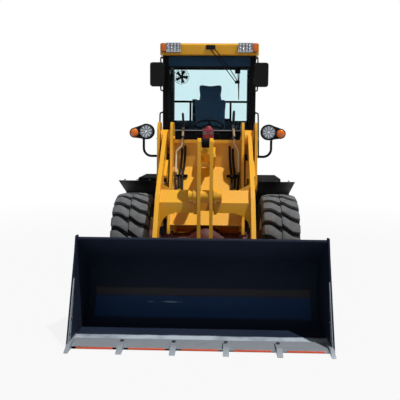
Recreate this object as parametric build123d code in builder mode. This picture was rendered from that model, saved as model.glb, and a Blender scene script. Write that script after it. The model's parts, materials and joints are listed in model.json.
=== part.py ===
"""Articulated wheel loader: rear frame with cab and engine, front frame, boom, bucket and wheels.

Units are millimetres. +Z is up and the bucket points to -Y. The origin lies on the ground under the
middle of the whole machine. Places along the machine are (y, z) pairs.
"""
from build123d import *
import math
import os
from collections import namedtuple

os.makedirs("parts", exist_ok=True)

# ---------------------------------------------------------------- driving sizes
TOOTH_REACH = 115.0
LIP_TO_AXLE = 2000.0
WHEELBASE = 2380.0
REAR_OVERHANG = 1350.0

TYRE_RADIUS = 537.5
TYRE_WIDTH = 400.0
TRACK = 1600.0
RIM_RADIUS = 254.0
LUG_HEIGHT = 26.0
LUGS_PER_SIDE = 20

BUCKET_WIDTH = 2150.0
BUCKET_GROUND_GAP = 4.0
BUCKET_WALL = 10.0
BUCKET_SIDE_WALL = 14.0
BUCKET_FLOOR_RUN = 560.0
BUCKET_HEEL_RADIUS = 330.0
BUCKET_BACK_LEAN = 57.85
BUCKET_RIM_HEIGHT = 840.0
TOOTH_COUNT = 6
TOOTH_WIDTH = 46.0

FRAME_PLATE = 30.0
PIN_RADIUS = 30.0
PIN_RUN = 0.05
PLATE_RUN = 6.0
SEAT_GAP = 0.3

CAB_WIDTH = 1200.0
CAB_LENGTH = 1240.0
CAB_FLOOR_Z = 1170.0
OVERALL_HEIGHT = 2890.0
CAB_WALL = 40.0
GLASS = 6.0

ARM_X = 490.0
ARM_THICK = 45.0
TOWER_INNER_X = 395.0
TOWER_OUTER_X = 545.0

# ---------------------------------------------------------------- places along the machine
overall_length = TOOTH_REACH + LIP_TO_AXLE + WHEELBASE + REAR_OVERHANG
lip_y = TOOTH_REACH - overall_length / 2
front_axle_y = lip_y + LIP_TO_AXLE
rear_axle_y = front_axle_y + WHEELBASE
pivot_y = (front_axle_y + rear_axle_y) / 2
tail_y = rear_axle_y + REAR_OVERHANG
wheel_z = TYRE_RADIUS
wheel_x = TRACK / 2

boom_pivot = (front_axle_y + 400, 1680)
bucket_pivot = (lip_y + 1010, 290)
crank_pivot = (front_axle_y - 550, 1100)
crank_top = (front_axle_y - 540, 1640)
crank_foot = (front_axle_y - 539, 452)
bucket_lug = (lip_y + 1041, 443)
tilt_anchor = (front_axle_y + 390, 1470)
lift_anchor = (front_axle_y + 800, 650)


def along(start, end, run, offset=0.0):
    """Point `run` from start towards end, moved `offset` to the right of that line."""
    length = math.dist(start, end)
    uy = (end[0] - start[0]) / length
    uz = (end[1] - start[1]) / length
    return (start[0] + uy * run + uz * offset, start[1] + uz * run - uy * offset)


LIFT_EYE_RUN = 480.0
LIFT_EYE_DROP = 160.0
lift_eye = along(boom_pivot, bucket_pivot, LIFT_EYE_RUN, -LIFT_EYE_DROP)


def save(part, name):
    """Label a finished part and write its STEP file."""
    part.label = name
    export_step(part, f"parts/{name}.step")


# ================================================================ wheels
lug_pitch = 360.0 / (LUGS_PER_SIDE)
crown = TYRE_RADIUS - LUG_HEIGHT
half_tread = TYRE_WIDTH / 2

with BuildPart() as carcass:
    with BuildSketch(Plane.XY):
        with BuildLine():
            Polyline(
                (-half_tread + 33, RIM_RADIUS + SEAT_GAP),
                (-half_tread + 27, RIM_RADIUS + 15),
                (-half_tread + 12, RIM_RADIUS + 15),
                (-half_tread + 2, RIM_RADIUS + 80),
                (-half_tread, RIM_RADIUS + 160),
                (-half_tread + 14, crown - 30),
                (-half_tread + 60, crown),
                (half_tread - 60, crown),
                (half_tread - 14, crown - 30),
                (half_tread, RIM_RADIUS + 160),
                (half_tread - 2, RIM_RADIUS + 80),
                (half_tread - 12, RIM_RADIUS + 15),
                (half_tread - 27, RIM_RADIUS + 15),
                (half_tread - 33, RIM_RADIUS + SEAT_GAP),
                close=True,
            )
        make_face()
    revolve(axis=Axis.X)

with BuildPart() as tread_space:
    with BuildSketch(Plane.XY):
        with BuildLine():
            Polyline(
                (-half_tread + 2, crown - 60),
                (-half_tread + 12, TYRE_RADIUS - 16),
                (-half_tread + 40, TYRE_RADIUS - 4),
                (-half_tread + 110, TYRE_RADIUS),
                (half_tread - 110, TYRE_RADIUS),
                (half_tread - 40, TYRE_RADIUS - 4),
                (half_tread - 12, TYRE_RADIUS - 16),
                (half_tread - 2, crown - 60),
                close=True,
            )
        make_face()
    revolve(axis=Axis.X)

with BuildPart() as lugs:
    for side in (-1, 1):
        for index in range(LUGS_PER_SIDE):
            turn = (index + (0.5 if side > 0 else 0.0)) * lug_pitch
            lug_plane = Plane.XY.rotated((turn, 0, 0)).offset(crown - 70)
            with BuildSketch(lug_plane):
                with BuildLine():
                    Polyline(
                        (side * 12, 62),
                        (side * 105, 30),
                        (side * half_tread, 22),
                        (side * half_tread, -52),
                        (side * 95, -44),
                        (side * 4, -8),
                        close=True,
                    )
                make_face()
            extrude(amount=120)

with BuildPart() as tyre:
    add(lugs.part)
    add(tread_space.part, mode=Mode.INTERSECT)
    add(carcass.part)

hub_radius = 95.0
spindle_radius = 45.0
disc_x = 60.0
with BuildPart() as rim:
    with BuildSketch(Plane.XY):
        with BuildLine():
            Polyline(
                (-half_tread + 32, RIM_RADIUS),
                (-half_tread + 26, RIM_RADIUS + 14),
                (-half_tread + 12, RIM_RADIUS + 14),
                (-half_tread + 12, RIM_RADIUS - 8),
                (-half_tread + 90, RIM_RADIUS - 30),
                (disc_x - 6, RIM_RADIUS - 30),
                (disc_x - 6, 185),
                (disc_x - 26, 165),
                (disc_x - 26, hub_radius),
                (disc_x - 150, hub_radius),
                (disc_x - 150, spindle_radius + PIN_RUN),
                (disc_x + 20, spindle_radius + PIN_RUN),
                (disc_x + 20, 0),
                (disc_x + 76, 0),
                (disc_x + 76, 62),
                (disc_x + 60, 84),
                (disc_x + 6, hub_radius),
                (disc_x - 10, hub_radius),
                (disc_x - 10, 160),
                (disc_x + 12, 180),
                (disc_x + 12, RIM_RADIUS - 30),
                (half_tread - 70, RIM_RADIUS - 30),
                (half_tread - 12, RIM_RADIUS - 8),
                (half_tread - 12, RIM_RADIUS + 14),
                (half_tread - 26, RIM_RADIUS + 14),
                (half_tread - 32, RIM_RADIUS),
                close=True,
            )
        make_face()
    revolve(axis=Axis.X)

Wheel = namedtuple("Wheel", "name side y")
WHEELS = (
    Wheel("front_left", -1, front_axle_y),
    Wheel("front_right", 1, front_axle_y),
    Wheel("rear_left", -1, rear_axle_y),
    Wheel("rear_right", 1, rear_axle_y),
)
for wheel in WHEELS:
    spot = Location((wheel.side * wheel_x, wheel.y, wheel_z), (0, 0, 0 if wheel.side > 0 else 180))
    save(tyre.part.moved(spot), f"tyre_{wheel.name}")
    save(rim.part.moved(spot), f"rim_{wheel.name}")

# ================================================================ axles
hub_inner_x = wheel_x + disc_x - 150
AXLE_TUBE_RADIUS = 85.0
DIFF_RADIUS = 185.0


def axle_profile():
    """Half outline of an axle along X: spindle, brake flange, tube and centre bulge."""
    Polyline(
        (0, 0),
        (0, DIFF_RADIUS),
        (70, DIFF_RADIUS - 8),
        (190, AXLE_TUBE_RADIUS + 15),
        (hub_inner_x - 160, AXLE_TUBE_RADIUS),
        (hub_inner_x - 120, 135),
        (hub_inner_x - 12, 135),
        (hub_inner_x - 12, spindle_radius),
        (wheel_x + disc_x + 10, spindle_radius),
        (wheel_x + disc_x + 10, 0),
        close=True,
    )


def across(centre, x0, x1, radius, mode=Mode.ADD):
    """Add or cut a round bar along X from x0 to x1, centred on (y, z)."""
    with BuildSketch(Plane.YZ.offset(x0)) as disc:
        with Locations(centre):
            Circle(radius)
    extrude(disc.sketch, amount=x1 - x0, mode=mode)


def plate_across(points, x0, x1, mode=Mode.ADD):
    """Add or cut a plate with a straight-sided outline in the (y, z) plane, from x0 to x1."""
    with BuildSketch(Plane.YZ.offset(x0)) as outline:
        with BuildLine():
            Polyline(*points, close=True)
        make_face()
    extrude(outline.sketch, amount=x1 - x0, mode=mode)


def plate_flat(points, z0, z1, mode=Mode.ADD):
    """Add or cut a plate with a straight-sided outline in the (x, y) plane, from z0 to z1."""
    with BuildSketch(Plane.XY.offset(z0)) as outline:
        with BuildLine():
            Polyline(*points, close=True)
        make_face()
    extrude(outline.sketch, amount=z1 - z0, mode=mode)


def block(x, y, z, mode=Mode.ADD):
    """Add or cut a rectangular block given its (low, high) limits along each axis."""
    plate_flat(((x[0], y[0]), (x[1], y[0]), (x[1], y[1]), (x[0], y[1])), z[0], z[1], mode)


HINGE_OUT = 10.0
KNUCKLE_RADIUS = 9.5
HINGE_PIN_RADIUS = 5.0
KNUCKLE_LENGTH = 40.0
LEAF_REACH = 60.0
LEAF_THICK = 6.0


def knuckle(plane, start, length, hole=True):
    """Add one hinge knuckle, its axis along the normal of a plane that holds the axis point."""
    with BuildSketch(plane.offset(start)) as ring:
        Circle(KNUCKLE_RADIUS)
    extrude(ring.sketch, amount=length)
    if hole:
        with BuildSketch(plane.offset(start)) as eye:
            Circle(HINGE_PIN_RADIUS + PIN_RUN)
        extrude(eye.sketch, amount=length, mode=Mode.SUBTRACT)


SHAFT_RADIUS = 32.0
SHAFT_Z = 620.0
PAD_X = 410.0
PAD_WIDTH = 90.0
FRAME_BOTTOM_OVER_AXLE = 640.0

with BuildPart() as front_axle:
    with BuildSketch(Plane.XY.offset(wheel_z)):
        with BuildLine():
            axle_profile()
        make_face()
    revolve(axis=Axis((0, 0, wheel_z), (1, 0, 0)))
    with BuildSketch(Plane.XY.offset(wheel_z)):
        with Locations((PAD_X, 0)):
            Rectangle(PAD_WIDTH, 130)
    extrude(amount=FRAME_BOTTOM_OVER_AXLE - wheel_z)
    with BuildSketch(Plane.XZ):
        with Locations((0, SHAFT_Z)):
            Circle(SHAFT_RADIUS)
    extrude(amount=-(pivot_y - front_axle_y - 60))
    mirror(about=Plane.YZ)
save(front_axle.part.moved(Location((0, front_axle_y, 0))), "front_axle")

TRUNNION_REACH = 230.0
TRUNNION_RADIUS = 70.0
with BuildPart() as rear_axle:
    with BuildSketch(Plane.XY.offset(wheel_z)):
        with BuildLine():
            axle_profile()
        make_face()
    revolve(axis=Axis((0, 0, wheel_z), (1, 0, 0)))
    with BuildSketch(Plane.XZ.offset(-TRUNNION_REACH)):
        with Locations((0, wheel_z)):
            Circle(TRUNNION_RADIUS)
    extrude(amount=2 * TRUNNION_REACH)
    mirror(about=Plane.YZ)
save(rear_axle.part.moved(Location((0, rear_axle_y, 0))), "rear_axle")

# ================================================================ front frame
tower_inner = (TOWER_INNER_X, TOWER_INNER_X + FRAME_PLATE)
tower_outer = (TOWER_OUTER_X, TOWER_OUTER_X + FRAME_PLATE)
TOWER_TOP_Z = 1870.0
TONGUE_THICK = 50.0
LOWER_TONGUE_Z = 450.0
UPPER_TONGUE_Z = 950.0
TONGUE_EYE = 95.0
frame_rear_y = pivot_y - 170
SLOPE_PLATE = 16.0
TILT_EAR_X = 70.0
TILT_EAR_THICK = 24.0
STEER_ROD_X = 230.0
STEER_ROD_AHEAD = 100.0
STEER_Z = 600.0
STEER_EYE_HALF = 28.0
STEER_BRACKET_THICK = 20.0
STEER_BRACKET_Z = (STEER_Z - STEER_EYE_HALF - PLATE_RUN - STEER_BRACKET_THICK, STEER_Z + STEER_EYE_HALF + PLATE_RUN)

with BuildPart() as front_frame:
    # towers: inner plates run back to the hinge, outer plates stop behind the lift cylinder
    plate_across(
        (
            (front_axle_y - 150, FRAME_BOTTOM_OVER_AXLE),
            (front_axle_y - 150, 740),
            (front_axle_y + 200, 1330),
            (front_axle_y + 230, 1760),
            (front_axle_y + 300, TOWER_TOP_Z),
            (front_axle_y + 500, TOWER_TOP_Z),
            (front_axle_y + 590, 1760),
            (front_axle_y + 640, 1400),
            (front_axle_y + 860, 1060),
            (frame_rear_y, 1010),
            (frame_rear_y, LOWER_TONGUE_Z),
            (front_axle_y + 300, LOWER_TONGUE_Z),
            (front_axle_y + 170, FRAME_BOTTOM_OVER_AXLE),
        ),
        *tower_inner,
    )
    plate_across(
        (
            (front_axle_y + 130, 1110),
            (front_axle_y + 200, 1330),
            (front_axle_y + 230, 1760),
            (front_axle_y + 300, TOWER_TOP_Z),
            (front_axle_y + 500, TOWER_TOP_Z),
            (front_axle_y + 590, 1760),
            (front_axle_y + 640, 1400),
            (front_axle_y + 880, 760),
            (front_axle_y + 880, 560),
            (front_axle_y + 720, 560),
            (front_axle_y + 480, 1000),
        ),
        *tower_outer,
    )
    across(boom_pivot, TOWER_INNER_X - 14, TOWER_OUTER_X + FRAME_PLATE + 14, PIN_RADIUS)
    across(lift_anchor, TOWER_INNER_X - 14, TOWER_OUTER_X + FRAME_PLATE + 14, PIN_RADIUS)
    # spacer plate that ties inner and outer tower plates behind the boom hub
    plate_across(
        (
            (front_axle_y + 560, 1500),
            (front_axle_y + 560, 1760),
            (front_axle_y + 576, 1760),
            (front_axle_y + 576, 1500),
        ),
        TOWER_INNER_X,
        TOWER_OUTER_X + FRAME_PLATE,
    )
    # steering rod brackets: two plates with a pin head on each, open between them
    for low in STEER_BRACKET_Z:
        block(
            (STEER_ROD_X - 50, STEER_ROD_X + 50),
            (frame_rear_y - 10, pivot_y - STEER_ROD_AHEAD + 45),
            (low, low + STEER_BRACKET_THICK),
        )
    mirror(about=Plane.YZ)
    # bent front plate between the towers, with a cross band on top
    plate_across(
        (
            (front_axle_y - 100, 735),
            (front_axle_y + 480, 1350),
            (front_axle_y + 480, 1670),
            (front_axle_y + 480 + SLOPE_PLATE, 1670),
            (front_axle_y + 480 + SLOPE_PLATE, 1344),
            (front_axle_y - 80, 725),
        ),
        -TOWER_INNER_X,
        TOWER_INNER_X,
    )
    plate_across(
        (
            (front_axle_y + 452, 1630),
            (front_axle_y + 452, 1670),
            (front_axle_y + 530, 1670),
            (front_axle_y + 530, 1630),
        ),
        -TOWER_INNER_X,
        TOWER_INNER_X,
    )
    # tilt cylinder bracket on the front plate
    for x in (-TILT_EAR_X - TILT_EAR_THICK, TILT_EAR_X):
        plate_across(
            (
                (front_axle_y + 482, 1360),
                (tilt_anchor[0] - 40, tilt_anchor[1] - 45),
                (tilt_anchor[0] - 60, tilt_anchor[1]),
                (tilt_anchor[0] - 40, tilt_anchor[1] + 45),
                (front_axle_y + 482, 1600),
            ),
            x,
            x + TILT_EAR_THICK,
        )
    across(tilt_anchor, -TILT_EAR_X - TILT_EAR_THICK - 8, TILT_EAR_X + TILT_EAR_THICK + 8, PIN_RADIUS)
    # rear wall with the shaft hole
    block(
        (-TOWER_INNER_X, TOWER_INNER_X),
        (frame_rear_y - 20, frame_rear_y),
        (LOWER_TONGUE_Z, UPPER_TONGUE_Z + TONGUE_THICK),
    )
    with BuildSketch(Plane.XZ.offset(-frame_rear_y)):
        with Locations((0, SHAFT_Z)):
            Circle(SHAFT_RADIUS + 60)
    extrude(amount=20, mode=Mode.SUBTRACT)
    # hinge tongues
    for tongue_z in (LOWER_TONGUE_Z, UPPER_TONGUE_Z):
        with BuildSketch(Plane.XY.offset(tongue_z)):
            with BuildLine():
                Polyline(
                    (-TOWER_INNER_X - FRAME_PLATE, frame_rear_y - 250),
                    (-TOWER_INNER_X - FRAME_PLATE, frame_rear_y),
                    (-TONGUE_EYE, pivot_y),
                    (TONGUE_EYE, pivot_y),
                    (TOWER_INNER_X + FRAME_PLATE, frame_rear_y),
                    (TOWER_INNER_X + FRAME_PLATE, frame_rear_y - 250),
                    close=True,
                )
            make_face()
            with Locations((0, pivot_y)):
                Circle(TONGUE_EYE)
                Circle(PIN_RADIUS + PIN_RUN, mode=Mode.SUBTRACT)
        extrude(amount=TONGUE_THICK)
save(front_frame.part, "front_frame")

# ================================================================ rear frame
RAIL_X = 300.0
FORK_THICK = 30.0
FORK_GAP = 8.0
STEER_BASE_X = 225.0
STEER_BASE_BEHIND = 530.0
rail_front_y = pivot_y + 160
rail_rear_y = tail_y - 250
fork_levels = [
    level
    for tongue_z in (LOWER_TONGUE_Z, UPPER_TONGUE_Z)
    for level in (tongue_z - FORK_GAP - FORK_THICK, tongue_z + TONGUE_THICK + FORK_GAP)
]
RAIL_TOP = 900.0
RAIL_FRONT_TOP = 1060.0

with BuildPart() as rear_frame:
    plate_across(
        (
            (rail_front_y, 400),
            (rail_front_y, RAIL_FRONT_TOP),
            (pivot_y + 560, RAIL_FRONT_TOP),
            (pivot_y + 700, RAIL_TOP),
            (rail_rear_y, RAIL_TOP),
            (rail_rear_y, 520),
            (rear_axle_y + 330, 520),
            (rear_axle_y + 280, 660),
            (rear_axle_y - 280, 660),
            (rear_axle_y - 380, 480),
            (pivot_y + 440, 400),
        ),
        RAIL_X,
        RAIL_X + FRAME_PLATE,
    )
    with BuildSketch(Plane.XY.offset(fork_levels[1])):
        with Locations((STEER_BASE_X, pivot_y + STEER_BASE_BEHIND)):
            Circle(34)
    extrude(amount=STEER_Z - STEER_EYE_HALF - PLATE_RUN - fork_levels[1])
    with BuildSketch(Plane.XY.offset(fork_levels[1])):
        with Locations((STEER_BASE_X, pivot_y + STEER_BASE_BEHIND)):
            Circle(24)
    extrude(amount=STEER_Z + STEER_EYE_HALF + 14 - fork_levels[1])
    mirror(about=Plane.YZ)
    for level in fork_levels:
        rear_edge = pivot_y + 600
        plate_flat(
            (
                (-TONGUE_EYE, pivot_y),
                (-110, pivot_y + 120),
                (-RAIL_X, pivot_y + 330),
                (-RAIL_X, rear_edge),
                (RAIL_X, rear_edge),
                (RAIL_X, pivot_y + 330),
                (110, pivot_y + 120),
                (TONGUE_EYE, pivot_y),
            ),
            level,
            level + FORK_THICK,
        )
        with BuildSketch(Plane.XY.offset(level)):
            with Locations((0, pivot_y)):
                Circle(TONGUE_EYE)
        extrude(amount=FORK_THICK)
    for level in (fork_levels[0], fork_levels[2]):
        with BuildSketch(Plane.XY.offset(level - 10)):
            with Locations((0, pivot_y)):
                Circle(PIN_RADIUS)
        extrude(amount=2 * FORK_THICK + 2 * FORK_GAP + TONGUE_THICK + 20)
    # cross plates that hold the axle trunnion, with the shaft passing below
    for near in (-TRUNNION_REACH - 40, TRUNNION_REACH + SEAT_GAP):
        block((-RAIL_X, RAIL_X), (rear_axle_y + near, rear_axle_y + near + 40 - SEAT_GAP), (600, 780))
    # cross members under the engine
    for near in (340, 860):
        block((-RAIL_X, RAIL_X), (rear_axle_y + near, rear_axle_y + near + 60), (640, 700))
    # end plate for the counterweight
    block((-RAIL_X, RAIL_X), (rail_rear_y - 20, rail_rear_y), (520, RAIL_TOP))
save(rear_frame.part, "rear_frame")

# ================================================================ engine, counterweight, tanks
ENGINE_WIDTH = 560.0
gearbox_y = pivot_y + 610
with BuildPart() as engine:
    block((-ENGINE_WIDTH / 2, ENGINE_WIDTH / 2), (rear_axle_y + 290, rear_axle_y + 1000), (700 + SEAT_GAP, 1350))
    block((-190, 190), (rear_axle_y - 300, rear_axle_y + 290), (800, 1080))
    block((-200, 200), (gearbox_y, rear_axle_y - 300), (500, 1080))
    with BuildSketch(Plane.XZ.offset(-pivot_y - 60)):
        with Locations((0, SHAFT_Z)):
            Circle(SHAFT_RADIUS)
    extrude(amount=-(gearbox_y - pivot_y - 60))
    with BuildSketch(Plane.XZ.offset(-(rear_axle_y - 300))):
        with Locations((0, wheel_z)):
            Circle(SHAFT_RADIUS)
    extrude(amount=-(300 - TRUNNION_REACH - SEAT_GAP))
save(engine.part, "engine")

COUNTERWEIGHT_HALF = 620.0
TOW_BORE_RADIUS = 20.0
TOW_BORE_LENGTH = 240.0
TOW_CHANNEL_RADIUS = 45.0
with BuildPart() as counterweight:
    plate_across(
        (
            (rail_rear_y, 480),
            (rail_rear_y, 1230),
            (tail_y - 60, 1230),
            (tail_y, 1150),
            (tail_y, 480),
        ),
        -COUNTERWEIGHT_HALF,
        COUNTERWEIGHT_HALF,
    )
    chamfer(counterweight.edges().filter_by(Axis.Z).group_by(Axis.Y)[-1], 110)
    # towing pocket, with an open channel above it that the pin drops down
    block((-45, 45), (tail_y - 110, tail_y), (580, 660), Mode.SUBTRACT)
    with BuildSketch(Plane.XY.offset(480 + TOW_BORE_LENGTH)):
        with Locations((0, tail_y - 55)):
            Circle(TOW_CHANNEL_RADIUS)
        with Locations((0, tail_y)):
            Rectangle(2 * TOW_CHANNEL_RADIUS, 110)
    extrude(amount=1230 - 480 - TOW_BORE_LENGTH, mode=Mode.SUBTRACT)
    with BuildSketch(Plane.XY.offset(480)):
        with Locations((0, tail_y - 55)):
            Circle(TOW_BORE_RADIUS)
    extrude(amount=TOW_BORE_LENGTH, mode=Mode.SUBTRACT)
save(counterweight.part, "counterweight")

FENDER_REACH = 600.0
TANK_TOP = 1000.0
tank_y = (pivot_y + 190, rear_axle_y - FENDER_REACH)
with BuildPart() as side_tanks:
    tank_in = RAIL_X + FRAME_PLATE + SEAT_GAP
    block((tank_in, 700), tank_y, (540, TANK_TOP))
    fillet(side_tanks.edges().filter_by(Axis.Y).group_by(Axis.X)[-1], 30)
    for step_z in (430, 700):
        block((695, 880), (tank_y[0] + 40, tank_y[1] - 40), (step_z, step_z + 25))
    for step_y in (tank_y[0] + 40, tank_y[1] - 60):
        block((690, 720), (step_y, step_y + 20), (430, 900))
    mirror(about=Plane.YZ)
save(side_tanks.part, "side_tanks")

FENDER_SHEET = 8.0
fender_top = 2 * TYRE_RADIUS + 45
with BuildPart() as rear_fenders:
    plate_across(
        (
            (rear_axle_y - FENDER_REACH, 820),
            (rear_axle_y - FENDER_REACH, fender_top - 60),
            (rear_axle_y - FENDER_REACH + 55, fender_top),
            (rear_axle_y + 380, fender_top),
            (rear_axle_y + 600, fender_top - 190),
            (rear_axle_y + 594, fender_top - 195),
            (rear_axle_y + 377, fender_top - FENDER_SHEET),
            (rear_axle_y - FENDER_REACH + 58, fender_top - FENDER_SHEET),
            (rear_axle_y - FENDER_REACH + FENDER_SHEET, fender_top - 63),
            (rear_axle_y - FENDER_REACH + FENDER_SHEET, 820),
        ),
        460,
        1010,
    )
    for near in (-300, 300):
        with BuildSketch(Plane.XZ.offset(-(rear_axle_y + near))) as bracket:
            with BuildLine():
                Polyline(
                    (RAIL_X + FRAME_PLATE + SEAT_GAP, 780),
                    (RAIL_X + FRAME_PLATE + SEAT_GAP, 890),
                    (480, fender_top - FENDER_SHEET + 2),
                    (640, fender_top - FENDER_SHEET + 2),
                    (640, fender_top - FENDER_SHEET - 25),
                    (560, fender_top - FENDER_SHEET - 50),
                    close=True,
                )
            make_face()
        extrude(amount=20)
    mirror(about=Plane.YZ)
save(rear_fenders.part, "rear_fenders")

# ================================================================ cab
cab_front_y = pivot_y - 10
cab_rear_y = cab_front_y + CAB_LENGTH
half_cab = CAB_WIDTH / 2
WINDSCREEN_SILL = 1780.0
HEADER_Z = OVERALL_HEIGHT - 290
REAR_SILL = 1950.0
REAR_RAIL_Z = 2215.0
REAR_HEADER_Z = OVERALL_HEIGHT - 190
PILLAR = 75.0
QUARTER = 330.0
post_y = cab_rear_y - QUARTER
roof_under = OVERALL_HEIGHT - 150
DOOR_GAP = 6.0
DOOR_INSET = 2.0
hinge_x = half_cab + HINGE_OUT
hinge_y = post_y - DOOR_GAP / 2
LOW_HINGE_Z = 1330.0
HIGH_HINGE_Z = roof_under - 260


def door_hinge_plane(side, z):
    """Plane square to a cab door hinge, on its axis at height z."""
    return Plane(origin=(side * hinge_x, hinge_y, z), z_dir=(0, 0, 1))


def fixed_cab_hinge(z):
    """Add the fixed half of both cab door hinges: a leaf, two knuckles and the pin."""
    for side in (-1, 1):
        at = door_hinge_plane(side, z)
        for start in (-KNUCKLE_LENGTH * 1.5 - 1, KNUCKLE_LENGTH / 2 + 1):
            knuckle(at, start, KNUCKLE_LENGTH, hole=False)
            leaf_x = sorted((side * half_cab, side * (half_cab + LEAF_THICK)))
            leaf_z = (z + start, z + start + KNUCKLE_LENGTH)
            block(leaf_x, (hinge_y + KNUCKLE_RADIUS / 2, hinge_y + LEAF_REACH), leaf_z)
        with BuildSketch(at.offset(-KNUCKLE_LENGTH * 1.5 - 1)) as pin:
            Circle(HINGE_PIN_RADIUS)
        extrude(pin.sketch, amount=3 * KNUCKLE_LENGTH + 2)


with BuildPart() as cab_base:
    block((-half_cab, half_cab), (cab_front_y, cab_rear_y), (CAB_FLOOR_Z, CAB_FLOOR_Z + CAB_WALL))
    wall_z = CAB_FLOOR_Z + CAB_WALL
    block((-half_cab, half_cab), (cab_front_y, cab_front_y + CAB_WALL), (wall_z, WINDSCREEN_SILL))
    block((-half_cab, half_cab), (cab_rear_y - CAB_WALL, cab_rear_y), (wall_z, REAR_SILL))
    for x in (-half_cab, half_cab - CAB_WALL):
        block((x, x + CAB_WALL), (post_y, cab_rear_y), (wall_z, REAR_SILL))
        block((x, x + CAB_WALL), (cab_front_y, cab_front_y + PILLAR), (wall_z, WINDSCREEN_SILL))
    for x in (-RAIL_X - FRAME_PLATE, RAIL_X):
        block((x, x + FRAME_PLATE), (pivot_y + 300, pivot_y + 400), (RAIL_FRONT_TOP, CAB_FLOOR_Z))
        block((x, x + FRAME_PLATE), (cab_rear_y - 160, cab_rear_y - 60), (RAIL_TOP, CAB_FLOOR_Z))
    fixed_cab_hinge(LOW_HINGE_Z)
save(cab_base.part, "cab_base")

with BuildPart() as cab_frame:
    for x in (-half_cab, half_cab - PILLAR):
        block((x, x + PILLAR), (cab_front_y, cab_front_y + PILLAR), (WINDSCREEN_SILL, roof_under))
    for x in (-half_cab, half_cab - 60):
        block((x, x + 60), (cab_rear_y - 60, cab_rear_y), (REAR_SILL, roof_under))
        block((x, x + 60), (post_y, post_y + 60), (REAR_SILL, roof_under))
        block((x, x + 60), (cab_front_y, cab_rear_y), (roof_under - 90, roof_under))
    block((-half_cab, half_cab), (cab_front_y, cab_front_y + 50), (HEADER_Z, roof_under))
    block((-half_cab, half_cab), (cab_rear_y - 50, cab_rear_y), (REAR_HEADER_Z, roof_under))
    block((-half_cab, half_cab), (cab_rear_y - 40, cab_rear_y), (REAR_RAIL_Z, REAR_RAIL_Z + 30))
    for x in (-315, 285):
        block((x, x + 30), (cab_rear_y - 40, cab_rear_y), (REAR_SILL, REAR_RAIL_Z))
    fixed_cab_hinge(HIGH_HINGE_Z)
save(cab_frame.part, "cab_frame")

roof_front_y = cab_front_y - 80
ROOF_HALF = 630.0
with BuildPart() as cab_roof:
    plate_across(
        (
            (roof_front_y, roof_under),
            (roof_front_y, OVERALL_HEIGHT - 20),
            (roof_front_y + 40, OVERALL_HEIGHT),
            (cab_rear_y, OVERALL_HEIGHT),
            (cab_rear_y + 40, OVERALL_HEIGHT - 60),
            (cab_rear_y + 40, roof_under),
        ),
        -ROOF_HALF,
        ROOF_HALF,
    )
    fillet(cab_roof.edges().filter_by(Axis.Z), 40)
    # recess above the lining
    block(
        (-half_cab + 90, half_cab - 90),
        (cab_front_y + 80, cab_rear_y - 80),
        (roof_under, OVERALL_HEIGHT - 40),
        Mode.SUBTRACT,
    )
save(cab_roof.part, "cab_roof")

with BuildPart() as cab_glass:
    edge = SEAT_GAP
    block(
        (-half_cab + PILLAR + edge, half_cab - PILLAR - edge),
        (cab_front_y + 20, cab_front_y + 20 + GLASS),
        (WINDSCREEN_SILL + edge, HEADER_Z - edge),
    )
    block(
        (-half_cab + 60 + edge, half_cab - 60 - edge),
        (cab_rear_y - 26, cab_rear_y - 26 + GLASS),
        (REAR_RAIL_Z + 30 + edge, REAR_HEADER_Z - edge),
    )
    for x0, x1 in ((-half_cab + 60, -315), (-285, 285), (315, half_cab - 60)):
        block((x0 + edge, x1 - edge), (cab_rear_y - 26, cab_rear_y - 26 + GLASS), (REAR_SILL + edge, REAR_RAIL_Z - edge))
    for x in (-half_cab + 20, half_cab - 20 - GLASS):
        block((x, x + GLASS), (post_y + 60 + edge, cab_rear_y - 60 - edge), (REAR_SILL + edge, roof_under - 90 - edge))
save(cab_glass.part, "cab_glass")

door_y = (cab_front_y + PILLAR + DOOR_GAP, post_y - DOOR_GAP)
door_z = (CAB_FLOOR_Z + CAB_WALL + DOOR_GAP, roof_under - 90 - DOOR_GAP)
window_y = (door_y[0] + 55, door_y[1] - 55)
window_z = (1640, door_z[1] - 60)
DOOR_THICK = 36.0
for name, side in (("left", -1), ("right", 1)):
    skin = sorted((side * (half_cab - DOOR_THICK - DOOR_INSET), side * (half_cab - DOOR_INSET)))
    pane = sorted((side * (half_cab - 20), side * (half_cab - 20 - GLASS)))
    with BuildPart() as cab_door:
        block(skin, door_y, door_z)
        block(skin, window_y, window_z, Mode.SUBTRACT)
        for hinge_z in (LOW_HINGE_Z, HIGH_HINGE_Z):
            leaf_x = sorted((side * (half_cab - DOOR_INSET), side * (half_cab + LEAF_THICK)))
            leaf_z = (hinge_z - KNUCKLE_LENGTH / 2, hinge_z + KNUCKLE_LENGTH / 2)
            block(leaf_x, (hinge_y - LEAF_REACH, hinge_y - KNUCKLE_RADIUS / 2), leaf_z)
            knuckle(door_hinge_plane(side, hinge_z), -KNUCKLE_LENGTH / 2, KNUCKLE_LENGTH)
    save(cab_door.part, f"cab_door_{name}")
    with BuildPart() as door_glass:
        block(
            pane,
            (window_y[0] + SEAT_GAP, window_y[1] - SEAT_GAP),
            (window_z[0] + SEAT_GAP, window_z[1] - SEAT_GAP),
        )
    save(door_glass.part, f"door_glass_{name}")

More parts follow.
